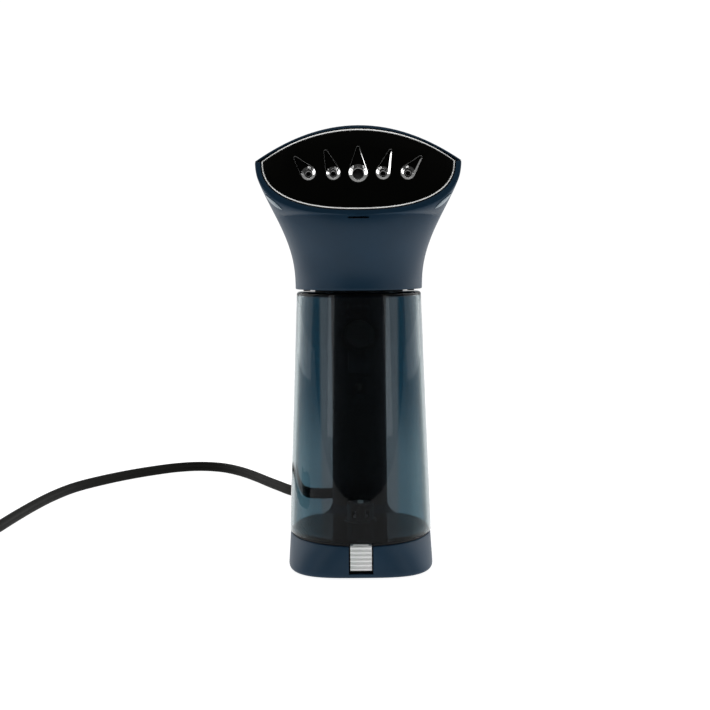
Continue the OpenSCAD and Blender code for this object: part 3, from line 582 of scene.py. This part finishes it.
def prism(name, outline, low, high, place):
    """A closed cutting tool from a flat outline."""
    rings = [[place(x, v, w) for x, v in outline] for w in (low, high)]
    return mesh(name, *loft(rings), body=None)


def drum(name, place, radius, low, high, sides=64):
    """A closed round cutting tool or pin along the local third axis."""
    ring = [(radius * math.cos(2 * math.pi * i / sides), radius * math.sin(2 * math.pi * i / sides))
            for i in range(sides)]
    return mesh(name, *loft([[place(x, y, w) for x, y in ring] for w in (low, high)]), body=None)


def block(name, low, high, body=None, place=lambda x, y, z: (x, y, z)):
    (x0, y0, z0), (x1, y1, z1) = low, high
    rings = [[place(x, y, z) for x, y in ((x0, y0), (x1, y0), (x1, y1), (x0, y1))]
             for z in (z0, z1)]
    return mesh(name, *loft(rings), body=body)


def upright(cx, cy):
    """Places a local point at (cx, cy) with its third axis up."""
    return lambda x, y, z: (cx + x, cy + y, z)


# --------------------------------------------------------------- head shells
BUTTON_Y = 62
LENS_Y = 76
STEM_Y = 98
STEM_R = 12
NECK_SCREWS = ((-19, -18), (-19, 16), (19, -18), (19, 16))
# half width, depth below the corners and crown above them
OPENING = (59.0, 30.1, 20.9)


def face_opening():
    """The tool that opens the face for the steam plate."""
    return prism("opening", eye(*OPENING), -6.8, 30, face_point)


def head_shell():
    levels = 56
    rings = [[(x, y, NECK_Z + up) for x, y, z in head_ring(0.0, inset)]
             for inset, up in ((0.45, 0), (0.13, 0.15))]
    rings += [head_ring(0.006 + 0.989 * i / levels, 0) for i in range(levels + 1)]
    rings += [head_ring(1, 0.12, -0.2), head_ring(1, 0.35, -0.35)]
    obj = mesh("head_shell", *capped([mirrored(r) for r in rings]))
    inner = mesh("inner", *capped([mirrored(head_ring(i / 30 * 1.02, SHELL_WALL, soft=0.5))
                                   for i in range(31)]), body=None)
    slot = block("slot", (-6.3, -35, -3), (6.3, -33.7, 6), place=face_point)
    stem = drum("stem", upright(0, STEM_Y), STEM_R, NECK_Z - 1, NECK_Z + 7)
    bores = [drum("bore", upright(x, y), 1.25, NECK_Z - 1, NECK_Z + 7, 24) for x, y in NECK_SCREWS]
    cut(obj, inner, face_opening(), slot, stem, *bores)
    shade(obj, 32)
    dress(obj, "navy_shell")
    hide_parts("head_shroud")


def lid_crown(y):
    close = 1.0
    if y > TAIL_Y:
        close = math.sqrt(max(0.001, 1 - ((y - TAIL_Y) / (BACK_Y + 0.5 - TAIL_Y)) ** 2))
    return lerp(FACE_CROWN * math.cos(FACE_TILT), 14, ease((y + 50) / 130)) * close


def lid_z(y):
    return NECK_Z + part_rise(y) + SEAM + lid_crown(y)


def lid_lean(y):
    return math.atan((lid_z(y - 3) - lid_z(y + 3)) / 6)


def lid_place(y0):
    """Places a local point on the lid's ridge, its third axis square to the lid."""
    lean = lid_lean(y0)
    c, s = math.cos(-lean), math.sin(-lean)
    return lambda x, y, z: (x, y0 + y * c - z * s, lid_z(y0) + y * s + z * c)


def lid_grid(edge, drop, half):
    """Points of a crowned lid over a half outline, its front row in the face's plane."""
    y0 = edge[0][1]
    rows = []
    for x, y, z in edge:
        row = []
        for j in range(-half, half + 1):
            q = math.sin(math.pi / 2 * j / half)
            shape = lerp(1, 0.5, ease((y + 50) / 110))
            up = max(0.2, lid_crown(y) - drop) * max(0.0, 1 - q * q) ** shape
            row.append((x * q, y + up * math.tan(FACE_TILT) * clamp(1 - (y - y0) / 40), z + up))
        rows.append(row)
    return rows


def head_cover():
    half = 24
    edge = head_ring(1, 0, SEAM, soft=0.02)[5:]
    inside = head_ring(1, SHELL_WALL, SEAM, soft=0.02)[5:]
    outer = lid_grid(edge, 0, half)
    inner = lid_grid(inside, SHELL_WALL + 1.2, half)
    k = 2 * half + 1
    # a quarter round between the front end face and the crown
    front = []
    soft = 1.0
    middle = Vector((0, FACE_CORNER_Y, CORNER_Z))
    for i in range(5):
        a = math.pi / 2 * i / 5
        inward, set_back = soft * (1 - math.sin(a)), soft * (1 - math.cos(a))
        row = []
        for p in outer[0]:
            out = Vector(p) - middle
            size = max(1e-6, out.length)
            row.append(tuple(Vector(p) - out * (inward / size) + Vector((0, set_back, 0))))
        front.append(row)
    outer = front + [row for row in outer if row[half][1] > outer[0][half][1] + soft]
    rows_out, rows_in = len(outer), len(inner)
    points = [p for row in outer for p in row] + [p for row in inner for p in row]
    n = rows_out * k
    faces = []
    for i in range(rows_out - 1):
        for j in range(k - 1):
            a = i * k + j
            faces.append((a, a + k, a + k + 1, a + 1))
    for i in range(rows_in - 1):
        for j in range(k - 1):
            a = n + i * k + j
            faces.append((a, a + 1, a + k + 1, a + k))
    for j in range(k - 1):
        faces.append((j, j + 1, n + j + 1, n + j))
        a, b = (rows_out - 1) * k + j, n + (rows_in - 1) * k + j
        faces.append((a + 1, a, b, b + 1))
    left_out = [i * k for i in range(rows_out)]
    left_in = [n + i * k for i in range(rows_in)]
    for side in (0, k - 1):
        strip_out = [i + side for i in left_out]
        strip_in = [i + side for i in left_in]
        faces.append(tuple(strip_out + strip_in[::-1]) if side else tuple(strip_in + strip_out[::-1]))
    obj = mesh("top_cover", points, faces)
    work = bmesh.new()
    work.from_mesh(obj.data)
    bmesh.ops.remove_doubles(work, verts=work.verts, dist=1e-7)
    bmesh.ops.triangulate(work, faces=[f for f in work.faces if len(f.verts) > 4])
    bmesh.ops.recalc_face_normals(work, faces=work.faces)
    work.to_mesh(obj.data)
    work.free()
    button = drum("button", lid_place(BUTTON_Y), 7.2, -20, 20)
    lens = drum("lens", lid_place(LENS_Y), 1.6, -8, 8, 32)
    cut(obj, face_opening(), button, lens)
    shade(obj, 32)
    dress(obj, "navy_shell")
    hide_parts("head_cover")


def revolve(name, profile, place, sides=64, smooth=SMOOTH, body="frame"):
    """A closed turned piece from a profile of radius and height that starts and ends on the axis
    or, for a ring, returns to its first point."""
    ring = bool(profile[0][0] > 0.01)
    points, faces = [], []
    n = len(profile)
    for i in range(sides):
        a = 2 * math.pi * i / sides
        points += [place(r * math.cos(a), r * math.sin(a), h) for r, h in profile]
    for i in range(sides):
        for j in range(n if ring else n - 1):
            a, b = i * n + j, i * n + (j + 1) % n
            c, d = ((i + 1) % sides) * n + (j + 1) % n, ((i + 1) % sides) * n + j
            faces.append((a, b, c, d))
    obj = mesh(name, points, faces, smooth, body)
    outward(obj, gap=2e-6)
    shade(obj, smooth)
    return obj


def softened(obj, width, segments=2, angle=40):
    """Rounds the sharp edges of a piece by a width in millimetres."""
    change = obj.modifiers.new("edges", "BEVEL")
    change.width = width * MM
    change.segments = segments
    change.limit_method = "ANGLE"
    change.angle_limit = math.radians(angle)
    change.harden_normals = False
    apply_modifiers(obj)
    return obj


def refined(node, width, finish=None):
    """A piece made from a CAD node's shape, welded and with its sharp edges rounded."""
    source = frame["nodes"][node]
    obj = bpy.data.objects.new(node + "_piece", source.data.copy())
    bpy.context.scene.collection.objects.link(obj)
    work = bmesh.new()
    work.from_mesh(obj.data)
    bmesh.ops.remove_doubles(work, verts=work.verts, dist=1e-6)
    bmesh.ops.dissolve_limit(work, angle_limit=math.radians(1), verts=work.verts, edges=work.edges)
    work.to_mesh(obj.data)
    work.free()
    softened(obj, width)
    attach(obj, source["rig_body"])
    dress(obj, SLOT_OF[node], finish)
    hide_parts(node)


def ring_band(name, rings, slot, finish=None):
    """A closed ring through outlines, the last joined to the first."""
    n = len(rings[0])
    k = len(rings)
    faces = []
    for i in range(k):
        for j in range(n):
            a, b = i * n + j, i * n + (j + 1) % n
            c, d = ((i + 1) % k) * n + (j + 1) % n, ((i + 1) % k) * n + j
            faces.append((a, b, c, d))
    return dress(mesh(name, [p for r in rings for p in r], faces), slot, finish)


head_shell()
head_cover()


# --------------------------------------------------------------- steam plate
BEZEL = (58.3, 29.4, 20.2)
NOZZLE_V = -7.05
NOZZLE_PITCH = 15.0
RECESS = -1.9
INSERT_LOW = -1.88
ROUND_STEPS = 40


def nozzle_list():
    """Place across, ring radius, hole radius, recess apex and turn of each nozzle."""
    made = []
    for i in range(-2, 3):
        far = abs(i)
        made.append((i * NOZZLE_PITCH, (5.8, 4.3, 4.4)[far], (3.7, 1.9, 1.9)[far],
                     (16.3, 15.0, 13.0)[far], (0, 19, 40)[far] * (-1 if i > 0 else 1)))
    return made


def nozzle_place(x):
    """Places a local point at a nozzle, its third axis out of the face."""
    return lambda u, v, w: face_point(x + u, NOZZLE_V + v, w)


def teardrop(x, r, apex, turn, grow=0.0):
    """Recess outline: round below, drawn out to a narrow round tip above."""
    tip = 0.9
    lean = math.acos((r - tip) / (apex - tip))
    ring = []
    for i in range(ROUND_STEPS + 1):
        a = math.pi / 2 + lean + (2 * math.pi - 2 * lean) * i / ROUND_STEPS
        ring.append(((r + grow) * math.cos(a), (r + grow) * math.sin(a)))
    for i in range(9):
        a = math.pi / 2 - lean + 2 * lean * i / 8
        ring.append(((tip + grow) * math.cos(a), apex - tip + (tip + grow) * math.sin(a)))
    c, s = math.cos(math.radians(turn)), math.sin(math.radians(turn))
    return [(x + u * c - v * s, NOZZLE_V + u * s + v * c) for u, v in ring]


def plate_rings(shape, steps):
    """Outlines of an eye-shaped piece; each step gives its growth and its height."""
    return [[face_point(x, v, w) for x, v in eye(shape[0] + g, shape[1] + g, shape[2] + g * 0.95)]
            for g, w in steps]


def steam_plate():
    rings = plate_rings(BEZEL, [(-1.05, -4.4), (-1.05, -0.7), (-1.15, -0.42), (-1.5, -0.3)])
    obj = mesh("sole_plate", *loft(rings))
    tools = []
    for x, r, hole, apex, turn in nozzle_list():
        outline = teardrop(x, r, apex, turn)
        wide = teardrop(x, r, apex, turn, 0.45)
        tools.append(mesh("recess", *loft([[face_point(u, v, w) for u, v in ring]
                                           for ring, w in ((outline, RECESS), (outline, -0.65),
                                                           (wide, 0.1))]), body=None))
        tools.append(drum("bore", nozzle_place(x), hole, -6, 0))
    cut(obj, *tools)
    shade(obj, 30)
    dress(obj, "sole_coating")
    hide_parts("steam_plate")


def plate_bezel():
    profile = [(-1.0, -3.0), (-1.0, -0.35), (-0.85, 0.0), (-0.66, 0.26), (-0.45, 0.38),
               (-0.24, 0.28), (-0.08, 0.02), (0.0, -0.35), (0.0, -3.0)]
    # painted highlight: the bezel wears a paler, less metallic copy of the trim
    obj = ring_band("bezel_ring", plate_rings(BEZEL, profile), "bright_trim", "satin_highlight_trim")
    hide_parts("plate_bezel")


def cup_width(r):
    return 1.7 if r < 5 else 2.0


def nozzle_cup(name, x, r, turn):
    """A polished dish round a nozzle, widest at its sides and open towards its channel, in a brighter
    copy of the trim as painted highlight.
    """
    sides = 96
    place = nozzle_place(x)
    rings = []
    for i in range(sides):
        a = 2 * math.pi * i / sides
        off = abs((math.degrees(a) - 90 - turn + 180) % 360 - 180)
        crest = lerp(-0.42, -1.72, ease(1.7 * (1 - off / 62)))
        wide = cup_width(r) * lerp(0.6, 1, abs(math.cos(a)))
        slope = [(r - 0.14 - t * wide, max(-1.8, crest - wide * (0.54 * t - 0.07 * t * t)))
                 for t in (0, 0.15, 0.3, 0.45, 0.6, 0.75, 0.9, 1)]
        foot, low = slope[-1]
        profile = [(r - 0.06, INSERT_LOW), (r - 0.06, crest - 0.08)] + slope
        profile += [(foot - 0.08, low - 0.06), (foot - 0.08, INSERT_LOW)]
        rings.append([place(q * math.cos(a), q * math.sin(a), w) for q, w in profile])
    return ring_band(name, rings, "bright_trim", "painted_highlight_trim")


def channel_edge(name, x, r, apex, turn, width):
    """The polished sloping wall along one side of a nozzle's channel, in a brighter copy of the trim
    as painted highlight.
    """
    outline = teardrop(x, r, apex, turn)
    start, end = Vector(outline[ROUND_STEPS]), Vector(outline[ROUND_STEPS + 1])
    inward = Vector((start[1] - end[1], end[0] - start[0])).normalized()
    rings = []
    for i in range(9):
        t = i / 8
        p = start.lerp(end, t)
        wide = width * lerp(1, 0.55, t)
        reach = wide * min(1, 6 * t + 0.3, 6 * (1 - t) + 0.3)
        rings.append([face_point(*(p + inward * u), w) for u, w in
                      ((0.02, -1.85), (0.02, -0.4), (0.12, -0.3), (reach, -0.27 - 0.48 * reach),
                       (reach, -1.85))])
    dress(mesh(name, *loft(rings), smooth=30), "bright_trim", "painted_highlight_trim")


def nozzle_inserts():
    """Polished dishes in a brighter copy of the trim as painted highlight, with bores and a fine lip
    round each channel in a darker copy of the trim as painted shade.
    """
    for k, (x, r, hole, apex, turn) in enumerate(nozzle_list()):
        nozzle_cup("nozzle_cup_%d" % k, x, r, turn)
        seat = r - 0.16 - 0.55 * cup_width(r)
        bore = revolve("nozzle_bore_%d" % k,
                       [(seat, INSERT_LOW), (seat, -1.84), (hole + 0.5, -1.8), (hole + 0.35, -1.6),
                        (hole + 0.15, -1.54), (hole - 0.1, -1.62), (hole - 0.5, -2.0),
                        (hole - 0.72, -2.3), (hole - 0.75, -4.2), (hole - 0.08, -4.2),
                        (hole - 0.08, INSERT_LOW)], nozzle_place(x), 64)
        # painted shade: the bore wears the dark copy of the trim
        dress(bore, "bright_trim", "painted_shade_trim")
        rim = [[face_point(u, v, w) for u, v in teardrop(x, r, apex, turn, g)]
               for g, w in ((0.02, -1.85), (0.02, -0.62), (0.08, -0.4), (0.2, -0.3), (0.32, -0.42),
                            (0.32, -0.7), (0.2, -1.0), (0.2, -1.85))]
        # painted shade: the lip wears the dark copy of the trim
        lip = ring_band("nozzle_lip_%d" % k, rim, "bright_trim", "painted_shade_trim")
        for obj in (bore, lip):
            obj.data.shade_smooth()
        # painted highlight: the bright channel walls are put only on the middle and right-hand
        # nozzles, each sized on its own
        if k > 1:
            channel_edge("nozzle_edge_%d" % k, x, r, apex, turn, (0.5, 1.5, 1.4)[k - 2])
    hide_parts("nozzle_inserts")


def side_inserts():
    """Glossy lens-shaped inserts in the head's sides, a little proud of the shell."""
    for side, mark in ((-1, "left"), (1, "right")):
        skin = mesh("insert_" + mark, *capped([mirrored(head_ring(i / 40, -0.45))
                                               for i in range(18, 37)]))
        along = Vector((side * 8.9, 0, 8.3)).normalized()
        out = Vector((side * 0.59, -0.47, -0.6327)).normalized()
        turn = Matrix((along.cross(out), along, out)).transposed().to_4x4()
        turn.translation = (side * 51.4, -54.6, 234.2)
        r, shift = 11.4, 9.15
        arc = [math.acos(shift / r) * (1 - 2 * i / 24) for i in range(24)]
        outline = [(half * (r * math.cos(a) - shift), half * r * math.sin(a))
                   for half in (1, -1) for a in arc]
        lens = prism("lens", outline, -4.5, 4.5, lambda x, y, w: turn @ Vector((x, y, w)))
        cut(skin, lens, keep_inside=True)
        dress(skin, "insert_blue")
        if side < 0:
            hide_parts("brush_catches")


# --------------------------------------------------------------------- tank
FILLER_Z = 148


def tank_ring(z, shrink, corner):
    """Half outline of the tank at a height: round in front, flat behind."""
    t = (z - TANK_Z) / (TANK_TOP - TANK_Z)
    r = lerp(TANK_R_LOW, TANK_R_HIGH, t) - shrink
    flat = lerp(REAR_LOW_Y, REAR_HIGH_Y, t) - shrink
    cy = flat - corner
    cx = math.sqrt((r - corner) ** 2 - cy ** 2)
    end = math.atan2(cx, -cy)
    half = [(r * math.sin(a), -r * math.cos(a), z)
            for a in [0.004 + (end - 0.004) * i / 84 for i in range(85)]]
    start = math.atan2(cy, cx)
    for i in range(1, 11):
        a = lerp(start, math.pi / 2, i / 10)
        half.append((cx + corner * math.cos(a), cy + corner * math.sin(a), z))
    half += [(cx * (1 - i / 12), flat, z) for i in range(1, 12)]
    half.append((0.05, flat, z))
    return half


def tank():
    shoulder, inner_shoulder, steps = 1.8, 1.2, 6
    corner, inner_corner = 3.4, 1.6
    inner_top = TANK_TOP - TANK_WALL
    rings = []
    for i in range(steps, -1, -1):
        a = math.pi / 2 * i / steps
        rings.append(tank_ring(inner_top - inner_shoulder + inner_shoulder * math.sin(a),
                               TANK_WALL + inner_shoulder * (1 - math.cos(a)), inner_corner))
    heights = [TANK_Z + 0.02 + (inner_top - inner_shoulder - TANK_Z) * i / 24 for i in range(24)]
    rings += [tank_ring(z, TANK_WALL, inner_corner) for z in reversed(heights)]
    rings.append(tank_ring(TANK_Z, TANK_WALL - 0.25, 1.8))
    rings.append(tank_ring(TANK_Z, 0.35, 3.2))
    heights = [TANK_Z + 0.35 + (TANK_TOP - shoulder - TANK_Z - 0.35) * i / 24 for i in range(25)]
    rings += [tank_ring(z, 0, corner) for z in heights]
    for i in range(1, steps + 1):
        a = math.pi / 2 * i / steps
        rings.append(tank_ring(TANK_TOP - shoulder + shoulder * math.sin(a),
                               shoulder * (1 - math.cos(a)), corner))
    obj = mesh("clear_tank", *capped([mirrored(r) for r in rings]), body="tank")
    cut(obj, drum("port", tank_back(FILLER_Z), 11, -6, 6))
    shade(obj, 50)
    dress(obj, "smoke_tank")
    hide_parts("tank_body")
    for x, mark in ((-9.5, "left"), (6.5, "right")):
        lug = block("hinge_lug_" + mark, (x, -18.0, 0.02), (x + 3, -13.2, 5.4), "tank",
                    tank_back(FILLER_Z))
        dress(softened(lug, 0.6, 3), "smoke_tank")


def tank_back(z0):
    """Places a local point on the tank's flat back: second axis down it, third out of it."""
    t = (z0 - TANK_Z) / (TANK_TOP - TANK_Z)
    y0 = lerp(REAR_LOW_Y, REAR_HIGH_Y, t)
    lean = math.atan((REAR_LOW_Y - REAR_HIGH_Y) / (TANK_TOP - TANK_Z)) - math.pi / 2
    c, s = math.cos(lean), math.sin(lean)
    return lambda x, y, z: (x, y0 + y * c - z * s, z0 + y * s + z * c)


# --------------------------------------------------------------------- base
def base_shell():
    roof = BASE_TOP - SHELL_WALL
    heights = [FOOT_Z + FOOT_R * (1 - math.cos(math.pi / 2 * i / 8)) for i in range(8)]
    heights += [2, 3, 4.5, 6.5, 8.5, 10.5, 13, 16, 18.5, 19.7]
    rings = [base_ring(z, 0) for z in heights]
    rings += [base_ring(20.0, 0.06), base_ring(20.2, 0.22), base_ring(BASE_TOP, 0.5)]
    obj = mesh("base_housing", *capped([mirrored(r) for r in rings]))
    inside = mesh("inside", *capped([mirrored(base_ring(z, SHELL_WALL)) for z in
                                     (-1.6, FOOT_Z, 0.6, 1, 2, 3.5, 8, 13, roof)]), body=None)
    well = block("well", (-7.7, -52, 2.9), (7.7, -40.4, 33))
    port = drum("port", upright(0, 12), 7, roof - 1, roof + 5)
    stem = drum("stem", upright(0, STEM_Y), STEM_R, roof - 1, roof + 5)
    back = drum("back", lambda x, y, z: (x, z, EXIT_Z + y), 5.2, 108, 128)
    cut(obj, inside, well, port, stem, back)
    shade(obj, 32)
    dress(obj, "navy_shell")
    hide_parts("base_shell")


def tank_latch():
    """Ribbed silver slider with its tongue under the tank's edge."""
    front, depth, low, high, half = -46.9, 5.9, 5.2, 21.3, 6.75
    ribs = 6
    pitch = (high - low) / ribs
    outline = [(front + depth, low), (front + depth, high)]
    for k in range(ribs - 1, -1, -1):
        z = low + pitch * k
        for i in range(7):
            a = math.pi / 2 - math.pi * i / 6
            outline.append((front + 0.9 - 0.9 * math.cos(a), z + pitch * (0.5 + 0.40 * math.sin(a))))
        outline.append((front + 1.0, z))
    rings = [[(x, y, z) for y, z in outline] for x in (-half, half)]
    obj = mesh("latch_slider", *loft(rings), body="latch")
    dress(softened(obj, 0.18, 2, 50), "silver_plastic")
    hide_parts("tank_latch")
    for piece in (block("latch_tongue", (-4.85, -45.2, 20.9), (4.85, -41.0, 21.9), "latch"),
                  block("latch_seat", (-4, -41.5, 12), (4, -33.2, 14), "latch")):
        dress(softened(piece, 0.2), "silver_plastic")


# --------------------------------------------------------------------- grip
SPLIT_Y = 100.0


def grip_halves():
    levels = 48
    for name, node, slot_name in (("grip_front_shell", "grip_front", "black_shell"),
                                  ("grip_rear_shell", "grip_rear", "navy_shell")):
        heights = [lerp(BASE_TOP, NECK_Z, i / levels) for i in range(levels + 1)]
        obj = mesh(name, *loft([grip_ring(z, 0) for z in heights]))
        inside = mesh("inside", *loft([grip_ring(lerp(BASE_TOP - 1, NECK_Z + 1, i / 20), SHELL_WALL)
                                       for i in range(21)]), body=None)
        if node == "grip_front":
            away = block("away", (-40, SPLIT_Y - 0.08, 0), (40, 160, 300))
            tools = [inside, away, block("slot", (-8, 70, 113.5), (8, 84, 167.5)),
                     block("lock_slot", (-4, 70, 94.5), (4, 84, 109.5))]
        else:
            away = block("away", (-40, 40, 0), (40, SPLIT_Y + 0.08, 300))
            tools = [inside, away]
            for z in (33, 170):
                tools.append(drum("bore", lambda x, y, h, z=z: (x, h, z + y), 2.7, 109, 130, 40))
        cut(obj, *tools)
        softened(obj, 0.35, 3, 50)
        dress(obj, slot_name)
        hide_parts(node)


# ------------------------------------------------------------ small pieces
def power_button():
    profile = [(0, -1.0), (5.4, -1.0), (5.4, -9.6), (8.6, -9.6), (8.6, -8.0), (6.8, -8.0),
               (6.8, 0.7), (6.65, 1.1), (6.3, 1.3), (5.6, 1.42), (5.0, 1.3), (4.0, 1.0),
               (2.5, 0.78), (0, 0.7)]
    obj = revolve("power_key_cap", profile, lid_place(BUTTON_Y), 96, 30, "power_key")
    dress(obj, "button_black")
    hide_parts("power_button")
    mark = revolve("power_key_mark", [(2.1, 0.6), (2.1, 0.86), (2.2, 0.9), (2.5, 0.92), (2.6, 0.86),
                                      (2.6, 0.6)], lid_place(BUTTON_Y), 64, 30, "power_key")
    dress(mark, "silver_plastic")
    lens = revolve("signal_lens", [(0, -4.4), (2.6, -4.4), (2.6, -3.6), (1.55, -3.6), (1.55, 0.15),
                                   (1.2, 0.35), (0.6, 0.45), (0, 0.48)], lid_place(LENS_Y), 48)
    dress(lens, "lens_amber")
    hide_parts("indicator_lens")


def strain_relief():
    profile = [(0, 111.6), (5.8, 111.6), (5.8, 114.0), (5.2, 114.0), (5.2, 119.4), (6.7, 119.4),
               (6.9, 119.7)]
    for i in range(5):
        y, r = BACK_Y + 4 + 4.6 * i, 6.7 - 0.27 * i
        profile += [(r, y - 0.3), (r - 0.3, y), (r - 0.9, y + 0.5), (r - 0.9, y + 1.5),
                    (r - 0.4, y + 1.9), (r - 0.1, y + 2.3)]
    profile += [(5.5, EXIT_Y - 0.6), (5.2, EXIT_Y - 0.1), (4.6, EXIT_Y), (0, EXIT_Y)]
    obj = revolve("cord_guard", profile, lambda x, y, h: (x, h, EXIT_Z + y), 64, 40)
    dress(obj, "cord_black")
    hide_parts("strain_relief")


def plug():
    x0, y0, z0 = END_ROUTE[-1]
    rings = []
    stages = [(0, 4.0, 0), (0.4, 5.0, 0), (1.5, 5.3, 0), (10, 6.3, 0)]
    for i in range(1, 9):
        t = ease(i / 8)
        stages.append((10 + 8.5 * i / 8, lerp(6.3, PLUG_R, t), 5 * t))
    for i in range(5):
        y = 19.6 + 1.9 * i
        stages += [(y, PLUG_R, 5), (y + 0.3, PLUG_R - 0.45, 5), (y + 0.9, PLUG_R - 0.45, 5),
                   (y + 1.2, PLUG_R, 5)]
    stages += [(29.4, PLUG_R, 5), (29.8, PLUG_R - 0.15, 5), (30, PLUG_R - 0.6, 5)]
    for along, r, spread in stages:
        ring = []
        for i in range(48):
            a = 2 * math.pi * i / 48
            shift = spread * (1 if math.cos(a) > 1e-9 else -1 if math.cos(a) < -1e-9 else 0)
            ring.append((x0 + shift + r * math.cos(a), y0 + along, z0 + r * math.sin(a)))
        rings.append(ring)
    obj = mesh("plug_moulding", *loft(rings), smooth=40)
    dress(obj, "cord_black")
    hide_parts("plug_body")
    blades = []
    for name, x, high in (("blade_wide", -6.35, 7.9), ("blade_narrow", 6.35, 6.35)):
        outline = [(0, -high / 2), (14.6, -high / 2), (17, -high / 2 + 1.6),
                   (17, high / 2 - 1.6), (14.6, high / 2), (0, high / 2)]
        rings = [[(x0 + x + dx, y0 + 29.9 + y, z0 + z) for y, z in outline] for dx in (-0.75, 0.75)]
        blade = mesh(name, *loft(rings))
        cut(blade, drum("hole", lambda u, v, w, x=x: (x0 + x + w, y0 + 42.5 + u, z0 + v),
                        1.5, -2, 2, 32))
        blades.append(dress(softened(blade, 0.15, 2, 50), "blade_brass"))
    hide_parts("plug_blades")
    return [obj] + blades


def cord_tie():
    """A flat band round the coil's section, with rounded corners."""
    inside, outside, low, high = 34.1, 60.5, 0.8, 18.6

    def section(grow, corner=1.6):
        ring = []
        left, right = inside + corner, outside - corner
        for cx, cz, a0 in ((right, high - corner, 0), (left, high - corner, 90),
                           (left, low + corner, 180), (right, low + corner, 270)):
            for i in range(7):
                a = math.radians(a0 + 15 * i)
                ring.append((cx + (corner + grow) * math.cos(a), cz + (corner + grow) * math.sin(a)))
        return ring

    bands = []
    for grow, turn in ((0.02, 250), (0.7, 250.05), (0.78, 250.4), (0.78, 264.6), (0.7, 264.95),
                       (0.02, 265)):
        a = math.radians(turn)
        bands.append([(COIL_AT[0] + r * math.cos(a), COIL_AT[1] + r * math.sin(a), z)
                      for r, z in section(grow)])
    obj = ring_band("coil_tie", bands, "black_rubber")
    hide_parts("cord_tie")
    return obj


steam_plate()
plate_bezel()
nozzle_inserts()
side_inserts()
tank()
base_shell()
tank_latch()
grip_halves()
power_button()
strain_relief()
plug_pieces = plug()
tie = cord_tie()
for node, width in (("trigger", 0.5), ("steam_lock", 0.25), ("filler_plug", 0.35),
                    ("neck_plate", 0.2), ("tank_bumpers", 0.3), ("base_deck", 0.15),
                    ("valve_housing", 0.25)):
    refined(node, width, "lock_grey" if node == "steam_lock" else None)

# ------------------------------------------------------- the rest of the nodes
for node, obj in frame["nodes"].items():
    if not obj.hide_render:
        dress(obj, SLOT_OF[node])

# -------------------------------------------------------------------- stage
floor = bpy.data.objects.new("floor", bpy.data.meshes.new("floor"))
floor.data.from_pydata([(-6, -0.42, 0), (6, -0.42, 0), (6, 9, 0), (-6, 9, 0)], [], [(0, 1, 2, 3)])
bpy.context.scene.collection.objects.link(floor)
paper, tree, sheet = blank("paper")
lit = add(tree, "LightPath").outputs["Is Diffuse Ray"]
glow = add(tree, "MapRange", Value=lit, To_Min=0.9, To_Max=0.5)
fill(tree, sheet, Base_Color=(0.35, 0.35, 0.35, 1), Roughness=0.9, Specular_IOR_Level=0.1,
     Emission_Color=(1, 1, 1, 1), Emission_Strength=glow.outputs["Result"])
floor.data.materials.append(paper)


def softbox(name, at, size, power):
    """A rectangular light that faces the middle of the object."""
    light = bpy.data.lights.new(name, "AREA")
    light.shape = "RECTANGLE"
    light.size, light.size_y = size
    light.energy = power
    obj = bpy.data.objects.new(name, light)
    bpy.context.scene.collection.objects.link(obj)
    aim = Vector((0, 0, 0.16)) - Vector(at)
    obj.matrix_world = Matrix.Translation(at) @ aim.to_track_quat("-Z", "Y").to_matrix().to_4x4()


softbox("left_light", (-1.6, 0.9, 0.8), (2.0, 2.0), 16)
softbox("right_light", (1.6, 0.8, 0.85), (2.0, 2.0), 17)
softbox("top_light", (0.0, 0.5, 1.45), (1.6, 1.3), 8)
softbox("left_strip", (-1.1, -0.9, 0.5), (0.3, 1.1), 2.5)
softbox("right_strip", (1.1, -0.9, 0.5), (0.3, 1.1), 2.5)

world = bpy.data.worlds.new("studio")
bpy.context.scene.world = world
world.use_nodes = True
tree = world.node_tree
# light grows from the front to the back; what is looked at directly or through the tank is white
around = add(tree, "SeparateXYZ", Vector=add(tree, "TexCoord").outputs["Generated"])
rise = add(tree, "MapRange", Value=around.outputs["Y"], From_Min=-0.9, From_Max=0.5,
           To_Min=0.03, To_Max=0.5)
seen = add(tree, "LightPath")
direct = math_node(tree, "MAXIMUM", seen.outputs["Is Camera Ray"],
                   seen.outputs["Is Transmission Ray"])
level = add(tree, "Mix", Factor=direct, A=rise.outputs["Result"], B=1.05)
fill(tree, tree.nodes["Background"], Color=(1, 1, 1, 1), Strength=level.outputs["Result"])
